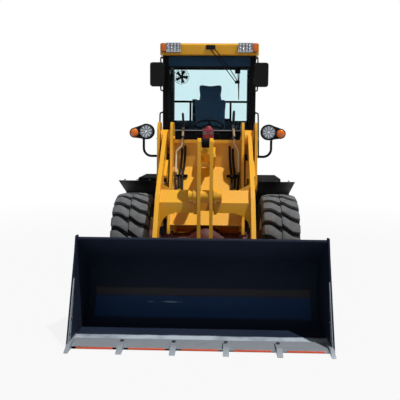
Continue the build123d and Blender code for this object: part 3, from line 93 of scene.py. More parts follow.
def srgb(red: int, green: int, blue: int) -> Colour:
    """Turn a colour given as 0-255 screen values into linear light.

    Args:
        red: Red value.
        green: Green value.
        blue: Blue value.

    Returns:
        The linear colour.
    """
    return tuple(((v / 255 + 0.055) / 1.055) ** 2.4 if v > 10 else v / 255 / 12.92 for v in (red, green, blue))


def add_node(
    tree: bpy.types.NodeTree, kind: str, constants: dict[str | int, object] | None = None, **settings: object
) -> bpy.types.Node:
    """Add a node to a shader tree.

    Args:
        tree: The tree.
        kind: Type of the node.
        constants: Values of its inputs that are not linked.
        settings: Options of the node itself, which are set first.

    Returns:
        The node.
    """
    made = tree.nodes.new(kind)
    for name, value in settings.items():
        setattr(made, name, value)
    for entry, value in (constants or {}).items():
        made.inputs[entry].default_value = value
    return made


def wire(tree: bpy.types.NodeTree, *links: tuple) -> None:
    """Link nodes of a shader tree.

    Args:
        tree: The tree.
        links: Rows of source node, its output, target node and its input.
    """
    for source, output, target, entry in links:
        tree.links.new(source.outputs[output], target.inputs[entry])


class NodeGroups:
    """Shader node groups that several finishes share."""

    def __init__(self) -> None:
        """Build every group once."""
        self.mottle = self._mottle()
        self.dirt = self._dirt()
        self.scratches = self._scratches()
        self.grain = self._grain()
        self.zone = self._zone()

    @staticmethod
    def _new(name: str, inputs: dict[str, float | None], output: str) -> tuple:
        """Start a group with its sockets.

        Args:
            name: Group name.
            inputs: Default of each input by its name, or None for a vector.
            output: Name of its one output.

        Returns:
            The node tree, its input node and its output node.
        """
        tree = bpy.data.node_groups.new(name, "ShaderNodeTree")
        for label, value in inputs.items():
            kind = "NodeSocketVector" if value is None else "NodeSocketFloat"
            socket = tree.interface.new_socket(label, in_out="INPUT", socket_type=kind)
            if value is not None:
                socket.default_value = value
        tree.interface.new_socket(output, in_out="OUTPUT", socket_type="NodeSocketFloat")
        return tree, tree.nodes.new("NodeGroupInput"), tree.nodes.new("NodeGroupOutput")

    def _mottle(self) -> bpy.types.NodeTree:
        """Slow uneven tone over a surface, as a mask from 0 to 1.

        Returns:
            The group.
        """
        tree, ins, outs = self._new("uneven tone", {"Vector": None, "Scale": 3.0}, "Mask")
        noise = add_node(tree, "ShaderNodeTexNoise", {"Detail": 6.0, "Roughness": 0.6})
        spread = add_node(tree, "ShaderNodeMapRange", {"From Min": 0.32, "From Max": 0.68})
        wire(
            tree,
            (ins, "Vector", noise, "Vector"),
            (ins, "Scale", noise, "Scale"),
            (noise, "Fac", spread, "Value"),
            (spread, "Result", outs, "Mask"),
        )
        return tree

    def _dirt(self) -> bpy.types.NodeTree:
        """Dust that thins out with height above the ground, as a mask.

        Returns:
            The group.
        """
        tree, ins, outs = self._new("ground dust", {"Vector": None, "Height": 0.9, "Amount": 0.5}, "Mask")
        split = tree.nodes.new("ShaderNodeSeparateXYZ")
        fade = add_node(tree, "ShaderNodeMapRange", {"From Min": 0.0, "To Min": 1.0, "To Max": 0.0})
        noise = add_node(tree, "ShaderNodeTexNoise", {"Scale": 9.0, "Detail": 8.0, "Roughness": 0.65})
        blotch = add_node(tree, "ShaderNodeMapRange", {"From Min": 0.36, "From Max": 0.7})
        mix = add_node(tree, "ShaderNodeMath", operation="MULTIPLY")
        amount = add_node(tree, "ShaderNodeMath", operation="MULTIPLY")
        wire(
            tree,
            (ins, "Vector", split, "Vector"),
            (split, "Z", fade, "Value"),
            (ins, "Height", fade, "From Max"),
            (ins, "Vector", noise, "Vector"),
            (noise, "Fac", blotch, "Value"),
            (fade, "Result", mix, 0),
            (blotch, "Result", mix, 1),
            (mix, "Value", amount, 0),
            (ins, "Amount", amount, 1),
            (amount, "Value", outs, "Mask"),
        )
        return tree

    def _scratches(self) -> bpy.types.NodeTree:
        """Long thin marks, drawn out along one direction, as a mask.

        Returns:
            The group.
        """
        tree, ins, outs = self._new("drawn marks", {"Vector": None, "Scale": 4.0, "Threshold": 0.62}, "Mask")
        place = add_node(tree, "ShaderNodeMapping", {"Scale": (0.22, 3.0, 6.0), "Rotation": (0.0, 0.12, 0.05)})
        noise = add_node(tree, "ShaderNodeTexNoise", {"Detail": 10.0, "Roughness": 0.72})
        cut = add_node(tree, "ShaderNodeMapRange", {"To Max": 1.0})
        top = add_node(tree, "ShaderNodeMath", {1: 0.06}, operation="ADD")
        wire(
            tree,
            (ins, "Vector", place, "Vector"),
            (place, "Vector", noise, "Vector"),
            (ins, "Scale", noise, "Scale"),
            (noise, "Fac", cut, "Value"),
            (ins, "Threshold", cut, "From Min"),
            (ins, "Threshold", top, 0),
            (top, "Value", cut, "From Max"),
            (cut, "Result", outs, "Mask"),
        )
        return tree

    def _grain(self) -> bpy.types.NodeTree:
        """Fine surface grain, as a height.

        Returns:
            The group.
        """
        tree, ins, outs = self._new("fine grain", {"Vector": None, "Scale": 300.0}, "Height")
        noise = add_node(tree, "ShaderNodeTexNoise", {"Detail": 3.0})
        wire(
            tree,
            (ins, "Vector", noise, "Vector"),
            (ins, "Scale", noise, "Scale"),
            (noise, "Fac", outs, "Height"),
        )
        return tree

    def _zone(self) -> bpy.types.NodeTree:
        """A patch of a surface inside a box with an uneven edge, as a mask.

        Returns:
            The group.
        """
        # Lays patches of wear and of painted light: the bucket's painted reflection belt and painted sunlit lip.
        tree, ins, outs = self._new(
            "worn zone", {"Vector": None, "Centre": None, "Half": None, "Soft": 0.02, "Waver": 0.02}, "Mask"
        )
        away, size, over = (tree.nodes.new("ShaderNodeVectorMath") for _ in range(3))
        away.operation, size.operation, over.operation = "SUBTRACT", "ABSOLUTE", "SUBTRACT"
        split = tree.nodes.new("ShaderNodeSeparateXYZ")
        wide, most = (tree.nodes.new("ShaderNodeMath") for _ in range(2))
        wide.operation = most.operation = "MAXIMUM"
        noise = add_node(tree, "ShaderNodeTexNoise", {"Scale": 5.0, "Detail": 8.0})
        middle = add_node(tree, "ShaderNodeMath", {1: 0.5}, operation="SUBTRACT")
        shift = add_node(tree, "ShaderNodeMath", operation="MULTIPLY_ADD")
        low = add_node(tree, "ShaderNodeMath", {1: -1.0}, operation="MULTIPLY")
        fade = add_node(tree, "ShaderNodeMapRange", {"To Min": 1.0, "To Max": 0.0})
        wire(
            tree,
            (ins, "Vector", away, 0),
            (ins, "Centre", away, 1),
            (away, "Vector", size, 0),
            (size, "Vector", over, 0),
            (ins, "Half", over, 1),
            (over, "Vector", split, "Vector"),
            (split, "X", wide, 0),
            (split, "Y", wide, 1),
            (wide, "Value", most, 0),
            (split, "Z", most, 1),
            (ins, "Vector", noise, "Vector"),
            (noise, "Fac", middle, 0),
            (middle, "Value", shift, 0),
            (ins, "Waver", shift, 1),
            (most, "Value", shift, 2),
            (shift, "Value", fade, "Value"),
            (ins, "Soft", low, 0),
            (low, "Value", fade, "From Min"),
            (ins, "Soft", fade, "From Max"),
            (fade, "Result", outs, "Mask"),
        )
        return tree


@dataclass(frozen=True)
class Zone:
    """A patch of another colour on a finish."""

    colour: Colour
    centre: Point
    half: Point
    soft: float = 0.02
    waver: float = 0.04
    amount: float = 1.0


@dataclass(frozen=True)
class Finish:
    """One surface finish, built from the shared groups."""

    name: str
    colour: Colour
    tone: Colour
    roughness: float = 0.4
    roughness_spread: float = 0.12
    metallic: float = 0.0
    coat: float = 0.0
    tone_scale: float = 2.5
    dust: Colour = srgb(150, 138, 118)
    dust_height: float = 1.1
    dust_amount: float = 0.0
    mark: Colour = srgb(170, 172, 174)
    mark_amount: float = 0.0
    mark_threshold: float = 0.64
    grain_scale: float = 260.0
    grain_strength: float = 0.05
    transmission: float = 0.0
    ior: float = 1.45
    zones: tuple[Zone, ...] = ()

    COAT_ROUGHNESS = 0.08
    GRAIN_DEPTH = 0.002

    def material(self, groups: NodeGroups) -> bpy.types.Material:
        """Build the material.

        Args:
            groups: The shared node groups.

        Returns:
            The new material.
        """
        made = bpy.data.materials.new(self.name)
        made.use_nodes = True
        tree = made.node_tree
        shader = tree.nodes["Principled BSDF"]
        shader.inputs["Metallic"].default_value = self.metallic
        shader.inputs["Coat Weight"].default_value = self.coat
        shader.inputs["Coat Roughness"].default_value = self.COAT_ROUGHNESS
        shader.inputs["Transmission Weight"].default_value = self.transmission
        shader.inputs["IOR"].default_value = self.ior
        place = tree.nodes.new("ShaderNodeTexCoord")
        colour = self._tone(tree, groups, place)
        for zone in self.zones:
            patch = tree.nodes.new("ShaderNodeGroup")
            patch.node_tree = groups.zone
            patch.inputs["Centre"].default_value = zone.centre
            patch.inputs["Half"].default_value = zone.half
            patch.inputs["Soft"].default_value = zone.soft
            patch.inputs["Waver"].default_value = zone.waver
            tree.links.new(place.outputs["Object"], patch.inputs["Vector"])
            colour = self._over(tree, colour, zone.colour, patch.outputs["Mask"], zone.amount)
        if self.dust_amount:
            dirt = tree.nodes.new("ShaderNodeGroup")
            dirt.node_tree = groups.dirt
            dirt.inputs["Height"].default_value = self.dust_height
            dirt.inputs["Amount"].default_value = self.dust_amount
            tree.links.new(place.outputs["Object"], dirt.inputs["Vector"])
            colour = self._over(tree, colour, self.dust, dirt.outputs["Mask"], 1.0)
        if self.mark_amount:
            marks = tree.nodes.new("ShaderNodeGroup")
            marks.node_tree = groups.scratches
            marks.inputs["Threshold"].default_value = self.mark_threshold
            tree.links.new(place.outputs["Object"], marks.inputs["Vector"])
            colour = self._over(tree, colour, self.mark, marks.outputs["Mask"], self.mark_amount)
        tree.links.new(colour, shader.inputs["Base Color"])
        self._relief(tree, groups, place, shader)
        return made

    def _tone(self, tree: bpy.types.NodeTree, groups: NodeGroups, place: bpy.types.Node) -> bpy.types.NodeSocket:
        """Mix the two tones and spread the roughness.

        Args:
            tree: The material's tree.
            groups: The shared node groups.
            place: The texture coordinate node.

        Returns:
            The socket that carries the mixed colour.
        """
        shader = tree.nodes["Principled BSDF"]
        mottle = tree.nodes.new("ShaderNodeGroup")
        mottle.node_tree = groups.mottle
        mottle.inputs["Scale"].default_value = self.tone_scale
        tree.links.new(place.outputs["Object"], mottle.inputs["Vector"])
        mix = add_node(tree, "ShaderNodeMix", {"A": (*self.colour, 1.0), "B": (*self.tone, 1.0)}, data_type="RGBA")
        tree.links.new(mottle.outputs["Mask"], mix.inputs["Factor"])
        rough = add_node(
            tree, "ShaderNodeMapRange", {"To Min": self.roughness, "To Max": self.roughness + self.roughness_spread}
        )
        wire(
            tree,
            (mottle, "Mask", rough, "Value"),
            (rough, "Result", shader, "Roughness"),
        )
        return mix.outputs["Result"]

    @staticmethod
    def _over(
        tree: bpy.types.NodeTree, under: bpy.types.NodeSocket, over: Colour, mask: bpy.types.NodeSocket, amount: float
    ) -> bpy.types.NodeSocket:
        """Lay one colour over another by a mask.

        Args:
            tree: The material's tree.
            under: The colour below.
            over: The colour laid on top.
            mask: Where it is laid.
            amount: The most it covers.

        Returns:
            The socket that carries the mixed colour.
        """
        limit = add_node(tree, "ShaderNodeMath", {1: amount}, operation="MULTIPLY", use_clamp=True)
        tree.links.new(mask, limit.inputs[0])
        mix = add_node(tree, "ShaderNodeMix", {"B": (*over, 1.0)}, data_type="RGBA")
        tree.links.new(under, mix.inputs["A"])
        tree.links.new(limit.outputs["Value"], mix.inputs["Factor"])
        return mix.outputs["Result"]

    def _relief(
        self, tree: bpy.types.NodeTree, groups: NodeGroups, place: bpy.types.Node, shader: bpy.types.Node
    ) -> None:
        """Add the fine grain to the normal.

        Args:
            tree: The material's tree.
            groups: The shared node groups.
            place: The texture coordinate node.
            shader: The shader that takes the normal.
        """
        if not self.grain_strength:
            return
        grain = tree.nodes.new("ShaderNodeGroup")
        grain.node_tree = groups.grain
        grain.inputs["Scale"].default_value = self.grain_scale
        bump = add_node(tree, "ShaderNodeBump", {"Strength": self.grain_strength, "Distance": self.GRAIN_DEPTH})
        wire(
            tree,
            (place, "Object", grain, "Vector"),
            (grain, "Height", bump, "Height"),
            (bump, "Normal", shader, "Normal"),
        )


YELLOW = srgb(234, 174, 42)
FINISHES = (
    Finish(
        "yellow paint", YELLOW, srgb(226, 161, 34), 0.30, 0.14, coat=0.20, dust_amount=0.16, dust_height=1.0, ior=1.36
    ),
    Finish(
        "yellow casting", YELLOW, srgb(205, 140, 36), 0.42, 0.18, coat=0.1, dust_amount=0.4, grain_strength=0.22,
        grain_scale=160.0,
    ),
    Finish("black paint", srgb(9, 10, 12), srgb(14, 15, 18), 0.46, 0.16, dust_amount=0.04, dust_height=1.2, ior=1.18),
    Finish(
        "worn steel", srgb(178, 185, 192), srgb(146, 152, 158), 0.38, 0.25, metallic=0.55, mark_amount=0.5,
        mark_threshold=0.6, mark=srgb(205, 209, 213), grain_strength=0.2,
    ),
    Finish("dark red paint", srgb(88, 18, 18), srgb(64, 16, 16), 0.45, 0.2, dust_amount=0.25, grain_strength=0.15),
    Finish("engine paint", srgb(70, 74, 78), srgb(52, 55, 58), 0.5, 0.2, dust_amount=0.5, grain_strength=0.2),
    Finish("polished rod", srgb(216, 218, 222), srgb(200, 203, 208), 0.08, 0.06, metallic=1.0, grain_strength=0.0),
    Finish("pin steel", srgb(120, 124, 128), srgb(88, 90, 94), 0.3, 0.2, metallic=1.0, grain_strength=0.1),
    Finish(
        "tyre rubber", srgb(15, 15, 16), srgb(22, 22, 23), 0.80, 0.12, dust=srgb(92, 90, 86), dust_amount=0.35,
        dust_height=1.4, tone_scale=14.0, grain_strength=0.5, grain_scale=220.0, ior=1.26,
    ),
    # Lug grey: dust plus painted sunlight, a lighter copy of the tyre's black rubber.
    Finish(
        "tread rubber", srgb(86, 88, 91), srgb(112, 113, 115), 0.80, 0.12, dust=srgb(134, 131, 125), dust_amount=0.40,
        dust_height=1.5, tone_scale=11.0, grain_strength=0.5, grain_scale=220.0, ior=1.26,
    ),
    Finish(
        "cab glass", srgb(231, 247, 249), srgb(226, 244, 247), 0.02, 0.02, transmission=1.0, ior=1.08,
        grain_strength=0.0,
    ),
    Finish(
        "lamp glass", srgb(238, 242, 245), srgb(228, 234, 240), 0.03, 0.02, transmission=0.9, ior=1.3,
        grain_strength=0.0,
    ),
    Finish("lamp mirror", srgb(225, 228, 232), srgb(205, 208, 214), 0.1, 0.08, metallic=1.0, grain_strength=0.0),
    Finish("lamp bowl", srgb(112, 118, 124), srgb(134, 140, 146), 0.26, 0.12, metallic=0.9, grain_strength=0.0),
    Finish("port red", srgb(128, 30, 44), srgb(150, 44, 58), 0.38, 0.15, grain_strength=0.12),
    Finish(
        "amber lens", srgb(240, 120, 20), srgb(226, 100, 14), 0.16, 0.1, coat=0.5, grain_strength=0.1, grain_scale=420.0
    ),
    Finish(
        "red lens", srgb(190, 24, 20), srgb(170, 18, 16), 0.16, 0.1, coat=0.5, grain_strength=0.1, grain_scale=420.0
    ),
    Finish(
        "black plastic", srgb(12, 13, 15), srgb(19, 20, 22), 0.5, 0.15, grain_strength=0.3, grain_scale=600.0, ior=1.28
    ),
    Finish(
        "hose rubber", srgb(12, 12, 13), srgb(20, 20, 21), 0.5, 0.15, dust_amount=0.12, grain_strength=0.35,
        grain_scale=900.0, ior=1.28,
    ),
    # Painted highlight: sun glare on yellow steel pipes, laid on as a cream colour.
    Finish("pipe primer", srgb(226, 218, 190), srgb(206, 198, 168), 0.36, 0.2, grain_strength=0.1),
    Finish(
        "orange primer", srgb(232, 96, 60), srgb(214, 80, 50), 0.5, 0.2, mark_amount=0.4, mark_threshold=0.62,
        grain_strength=0.15,
    ),
    Finish(
        "seat cloth", srgb(30, 56, 80), srgb(38, 66, 92), 0.85, 0.1, tone_scale=30.0, grain_strength=0.6,
        grain_scale=1400.0,
    ),
    Finish("cab lining", srgb(26, 44, 62), srgb(20, 36, 52), 0.8, 0.1, grain_strength=0.3, grain_scale=500.0),
    Finish("tinted band", srgb(19, 52, 80), srgb(24, 60, 90), 0.55, 0.1, grain_strength=0.0, ior=1.3),
)


class PaintShop:
    """Holds every finished material by name."""

    def __init__(self) -> None:
        """Build the groups and materials."""
        self.groups = NodeGroups()
        self.materials = {finish.name: finish.material(self.groups) for finish in FINISHES}

    def add(self, finish: Finish) -> None:
        """Build one more finish, whose zones lie at places on this machine."""
        self.materials[finish.name] = finish.material(self.groups)

    def dress(self, piece: bpy.types.Object, finish: str) -> None:
        """Give a piece one finish all over.

        Args:
            piece: The piece.
            finish: Name of the finish.
        """
        piece.data.materials.clear()
        piece.data.materials.append(self.materials[finish])
        for face in getattr(piece.data, "polygons", ()):
            face.material_index = 0


# ---------------------------------------------------------------- the bench: modelling by operators


class Bench:
    """Modelling helpers that work as by hand: primitives, edit mode, modifiers."""

    FLAT = 1e-4  # least size of a box along an axis
    WELD = 0.00005  # points of a turned piece nearer than this are one
    PIPE_WELD = 0.0002
    END_ANGLE = 50  # edges of a bar sharper than this get the chamfer, in degrees
    PIPE_ANGLE = 60.0
    PIPE_ROUNDNESS = 4

    @staticmethod
    def clear() -> None:
        """Leave edit mode and deselect everything."""
        if bpy.context.object and bpy.context.object.mode != "OBJECT":
            bpy.ops.object.mode_set(mode="OBJECT")
        bpy.ops.object.select_all(action="DESELECT")

    @staticmethod
    def pick(piece: bpy.types.Object) -> None:
        """Select one object alone and make it active.

        Args:
            piece: The object.
        """
        Bench.clear()
        piece.select_set(True)
        bpy.context.view_layer.objects.active = piece

    @staticmethod
    def edit(piece: bpy.types.Object) -> None:
        """Open one object in edit mode, with all of it selected.

        Args:
            piece: The object.
        """
        Bench.pick(piece)
        bpy.ops.object.mode_set(mode="EDIT")
        bpy.ops.mesh.select_all(action="SELECT")

    @staticmethod
    def raw(name: str, points: Iterable[Point], edges: Sequence[tuple], faces: Sequence[tuple]) -> bpy.types.Object:
        """A piece from points and how they join.

        Args:
            name: Its name.
            points: Its points.
            edges: Pairs of points.
            faces: Rings of points.

        Returns:
            The new piece.
        """
        mesh = bpy.data.meshes.new(name)
        mesh.from_pydata([tuple(point) for point in points], edges, faces)
        piece = bpy.data.objects.new(name, mesh)
        bpy.context.scene.collection.objects.link(piece)
        return piece

    @staticmethod
    def round_edges(piece: bpy.types.Object, radius: float, angle: float) -> None:
        """Round the sharp edges of the active piece.

        Args:
            piece: The piece.
            radius: Radius of the rounding.
            angle: Edges sharper than this are rounded, in degrees.
        """
        bevel = piece.modifiers.new("edges", "BEVEL")
        bevel.width = radius
        bevel.segments = 2
        bevel.limit_method = "ANGLE"
        bevel.angle_limit = math.radians(angle)
        bpy.ops.object.modifier_apply(modifier=bevel.name)

    @staticmethod
    def settle(piece: bpy.types.Object, name: str, angle: float = 35.0) -> bpy.types.Object:
        """Apply the place of a piece, name it and shade it smooth by angle.

        Args:
            piece: The piece.
            name: Its name.
            angle: Edges sharper than this stay sharp, in degrees.

        Returns:
            The same piece.
        """
        Bench.pick(piece)
        bpy.ops.object.transform_apply(location=True, rotation=True, scale=True)
        bpy.ops.object.shade_smooth_by_angle(angle=math.radians(angle))
        piece.name = name
        piece.data.name = name
        return piece

    @staticmethod
    def block(name: str, low: Point, high: Point, edge: float = 0.004, steps: int = 2) -> bpy.types.Object:
        """A box with rounded edges.

        Args:
            name: Its name.
            low: Lowest corner.
            high: Highest corner.
            edge: Radius of its edges.
            steps: Segments across each edge.

        Returns:
            The new piece.
        """
        Bench.clear()
        centre = [(a + b) / 2 for a, b in zip(low, high)]
        bpy.ops.mesh.primitive_cube_add(size=1, location=centre)
        piece = bpy.context.object
        piece.scale = [max(b - a, Bench.FLAT) for a, b in zip(low, high)]
        bpy.ops.object.transform_apply(location=True, rotation=True, scale=True)
        if edge:
            Bench.edit(piece)
            bpy.ops.mesh.bevel(offset=edge, segments=steps, profile=0.5, affect="EDGES")
            bpy.ops.object.mode_set(mode="OBJECT")
        return Bench.settle(piece, name)

    @staticmethod
    def bar(
        name: str, start: Point, end: Point, radius: float, edge: float = 0.0015, sides: int = 32
    ) -> bpy.types.Object:
        """A round bar with chamfered ends between two points.

        Args:
            name: Its name.
            start: Centre of one end.
            end: Centre of the other end.
            radius: Its radius.
            edge: Size of the end chamfer.
            sides: Facets round the bar.

        Returns:
            The new piece.
        """
        Bench.clear()
        run = Vector(end) - Vector(start)
        bpy.ops.mesh.primitive_cylinder_add(
            vertices=sides,
            radius=radius,
            depth=run.length,
            location=(Vector(start) + Vector(end)) / 2,
            rotation=run.to_track_quat("Z", "Y").to_euler(),
        )
        piece = bpy.context.object
        bpy.ops.object.transform_apply(location=True, rotation=True, scale=True)
        if edge:
            Bench.round_edges(piece, edge, Bench.END_ANGLE)
        return Bench.settle(piece, name)

    @staticmethod
    def turned(name: str, profile: Sequence[Point], centre: Point, axis: Point, steps: int = 64) -> bpy.types.Object:
        """A piece turned about an axis from a profile of points, each a place in space.

        Args:
            name: Its name.
            profile: Points of the profile.
            centre: A point on the axis.
            axis: Direction of the axis.
            steps: Facets round the axis.

        Returns:
            The new piece.
        """
        Bench.clear()
        piece = Bench.raw(name, profile, [(i, i + 1) for i in range(len(profile) - 1)], [])
        Bench.edit(piece)
        bpy.ops.mesh.spin(steps=steps, angle=math.tau, center=centre, axis=axis)
        bpy.ops.mesh.select_all(action="SELECT")
        bpy.ops.mesh.remove_doubles(threshold=Bench.WELD)
        bpy.ops.mesh.select_all(action="SELECT")
        bpy.ops.mesh.normals_make_consistent(inside=False)
        bpy.ops.object.mode_set(mode="OBJECT")
        return Bench.settle(piece, name)

    @staticmethod
    def plate(
        name: str, outline: Sequence[Point], thick: Point, edge: float = 0.002, steps: int = 2
    ) -> bpy.types.Object:
        """A plate extruded from a closed outline.

        Args:
            name: Its name.
            outline: Corners of one face, in order.
            thick: The vector from that face to the other.
            edge: Radius of its edges.
            steps: Segments across each edge.

        Returns:
            The new piece.
        """
        Bench.clear()
        piece = Bench.raw(name, outline, [], [tuple(range(len(outline)))])
        Bench.edit(piece)
        bpy.ops.mesh.extrude_region_move(TRANSFORM_OT_translate={"value": tuple(thick)})
        bpy.ops.mesh.select_all(action="SELECT")
        bpy.ops.mesh.normals_make_consistent(inside=False)
        if edge:
            bpy.ops.mesh.bevel(offset=edge, segments=steps, affect="EDGES")
        bpy.ops.object.mode_set(mode="OBJECT")
        return Bench.settle(piece, name)

    @staticmethod
    def pipe(name: str, route: Sequence[Point], radius: float, order: int = 3, detail: int = 8) -> bpy.types.Object:
        """A round pipe or hose along a smooth route.

        Args:
            name: Its name.
            route: Control points from end to end.
            radius: Outer radius.
            order: Spline order; 3 rounds each corner.
            detail: Steps between control points.

        Returns:
            The new piece.
        """
        Bench.clear()
        bpy.ops.curve.primitive_nurbs_path_add(radius=1.0, location=(0, 0, 0))
        piece = bpy.context.object
        curve = piece.data
        curve.splines.clear()
        line = curve.splines.new("NURBS")
        line.points.add(len(route) - 1)
        for point, spot in zip(line.points, route):
            point.co = (*spot, 1.0)
        line.order_u = order
        line.use_endpoint_u = True
        curve.dimensions = "3D"
        curve.resolution_u = detail
        curve.render_resolution_u = detail
        curve.bevel_depth = radius
        curve.bevel_resolution = Bench.PIPE_ROUNDNESS
        curve.use_fill_caps = True
        bpy.ops.object.convert(target="MESH")
        piece = bpy.context.object
        Bench.edit(piece)
        bpy.ops.mesh.remove_doubles(threshold=Bench.PIPE_WELD)
        bpy.ops.mesh.normals_make_consistent(inside=False)
        bpy.ops.object.mode_set(mode="OBJECT")
        return Bench.settle(piece, name, Bench.PIPE_ANGLE)

    @staticmethod
    def join(name: str, parts: Sequence[bpy.types.Object]) -> bpy.types.Object:
        """Join pieces into one object, keeping their materials.

        Args:
            name: Name of the joined piece.
            parts: The pieces.

        Returns:
            The joined piece.
        """
        Bench.clear()
        for part in parts:
            part.select_set(True)
        bpy.context.view_layer.objects.active = parts[0]
        if len(parts) > 1:
            bpy.ops.object.join()
        piece = bpy.context.object
        piece.name = name
        piece.data.name = name
        return piece

    @staticmethod
    def copy(source: bpy.types.Object, name: str, change: Matrix) -> bpy.types.Object:
        """Copy a piece with its own mesh, moved by a matrix.

        Args:
            source: The piece to copy.
            name: Name of the copy.
            change: Where it goes, as a matrix on its mesh.

        Returns:
            The copy.
        """
        mesh = source.data.copy()
        mesh.transform(change)
        if change.determinant() < 0:
            mesh.flip_normals()
        made = bpy.data.objects.new(name, mesh)
        mesh.name = name
        bpy.context.scene.collection.objects.link(made)
        return made


@dataclass
class Assembly:
    """A sub-assembly that dresses CAD nodes and adds its own pieces."""

    shop: PaintShop
    frame: dict
    made: list = field(default_factory=list)

    SOFT_WELD = 0.00002
    SOFT_FLAT = 1.0  # faces this near to one plane are merged, in degrees
    SOFT_ANGLE = 32.0  # edges sharper than this are rounded, in degrees

    def keep(self, piece: bpy.types.Object, body: str, slot: str, replaces: Sequence[str] = ()) -> bpy.types.Object:
        """Hand a finished piece to the frame.

        Args:
            piece: The piece.
            body: The body that it rides on.
            slot: The record's material slot; not used.
            replaces: CAD nodes that it stands for.

        Returns:
            The same piece.
        """
        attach(piece, body)
        if replaces:
            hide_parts(*replaces)
        self.made.append(piece.name)
        return piece

    def finish_node(self, node: str, finish: str) -> None:
        """Give a CAD node that stays in view its finish."""
        self.shop.dress(self.frame["nodes"][node], finish)

    def soften(self, node: str, finish: str, edge: float = 0.0025, name: str = "") -> bpy.types.Object:
        """Stand a copy with rounded edges in for a rigid CAD node.

        Args:
            node: The CAD node.
            finish: Its finish.
            edge: Radius of its edges.
            name: Name of the copy.

        Returns:
            The copy, not yet handed to the frame.
        """
        piece = Bench.copy(self.frame["nodes"][node], name or f"{node}_dressed", Matrix.Identity(4))
        Bench.edit(piece)
        bpy.ops.mesh.remove_doubles(threshold=self.SOFT_WELD)
        bpy.ops.mesh.select_all(action="SELECT")
        bpy.ops.mesh.dissolve_limited(angle_limit=math.radians(self.SOFT_FLAT))
        bpy.ops.object.mode_set(mode="OBJECT")
        if edge:
            Bench.round_edges(piece, edge, self.SOFT_ANGLE)
        Bench.settle(piece, piece.name, self.SOFT_ANGLE)
        flat = piece.modifiers.new("flat faces", "WEIGHTED_NORMAL")
        flat.keep_sharp = True
        bpy.ops.object.modifier_apply(modifier=flat.name)
        self.shop.dress(piece, finish)
        return piece


# ---------------------------------------------------------------- sub-assemblies


@dataclass
class Steelwork(Assembly):
    """Frames, boom, bucket, cylinders and body panels, as softened copies of their nodes."""

    NODES = (
        # node, finish, body, radius of its edges
        ("front_frame", "yellow paint", "front", 0.003),
        ("rear_frame", "yellow paint", "rear", 0.003),
        ("boom", "yellow paint", "boom", 0.003),
        ("bell_crank", "yellow paint", "bell_crank", 0.003),
        ("bucket_link", "yellow paint", "bucket_link", 0.003),
        ("bucket", "bucket paint", "bucket", 0.0025),
        ("cutting_edge", "worn steel", "bucket", 0.002),
        ("front_axle", "dark red paint", "front", 0.003),
        ("rear_axle", "dark red paint", "rear", 0.003),
        ("engine", "engine paint", "rear", 0.004),
        ("counterweight", "yellow casting", "rear", 0.008),
        ("side_tanks", "black paint", "rear", 0.004),
        ("rear_fenders", "black paint", "rear", 0.002),
        ("front_fenders", "black paint", "front", 0.002),
        ("cab_base", "black paint", "rear", 0.004),
        ("cab_frame", "black paint", "rear", 0.005),
        ("cab_roof", "yellow paint", "rear", 0.012),
        ("cab_door_left", "black paint", "cab_door_left", 0.004),
        ("cab_door_right", "black paint", "cab_door_right", 0.004),
        ("hood", "yellow paint", "rear", 0.003),
        ("engine_door_left", "yellow paint", "engine_door_left", 0.005),
        ("engine_door_right", "yellow paint", "engine_door_right", 0.005),
        ("grille", "black paint", "rear", 0.002),
        ("lift_barrels", "yellow paint", "lift_barrels", 0.002),
        ("tilt_barrel", "yellow paint", "tilt_barrel", 0.002),
        ("steer_barrel_left", "black paint", "steer_barrel_left", 0.002),
        ("steer_barrel_right", "black paint", "steer_barrel_right", 0.002),
        ("lift_rods", "polished rod", "lift_rods", 0.0015),
        ("tilt_rod", "polished rod", "tilt_rod", 0.0015),
        ("steer_rod_left", "polished rod", "steer_rod_left", 0.0015),
        ("steer_rod_right", "polished rod", "steer_rod_right", 0.0015),
        ("bucket_pins", "pin steel", "bucket_carrier", 0.002),
        ("crank_pin", "yellow paint", "crank_carrier", 0.002),
        ("link_pin", "pin steel", "link_carrier", 0.002),
        ("stacks", "black paint", "rear", 0.003),
        ("lamp_arms", "black paint", "front", 0.0),
    )
    RODS = ("lift_rods", "tilt_rod", "steer_rod_left", "steer_rod_right")
    eye_reach: float = 0.115

    def paint_eye(self, piece: bpy.types.Object) -> None:
        """Give the eye at the front end of a rod black paint.

        Args:
            piece: The rod.
        """
        piece.data.materials.append(self.shop.materials["black paint"])
        end = min(vertex.co.y for vertex in piece.data.vertices)
        for face in piece.data.polygons:
            if face.center.y < end + self.eye_reach:
                face.material_index = 1

    def build(self) -> None:
        """Make every softened copy."""
        slots = {entry["node"]: entry["material_slot"] for entry in self.frame["record"]["subparts"]}
        for node, finish, body, edge in self.NODES:
            piece = self.soften(node, finish, edge)
            if node in self.RODS:
                self.paint_eye(piece)
            slot = "body_yellow" if finish == "yellow paint" else slots[node]
            self.keep(piece, body, slot, (node,))


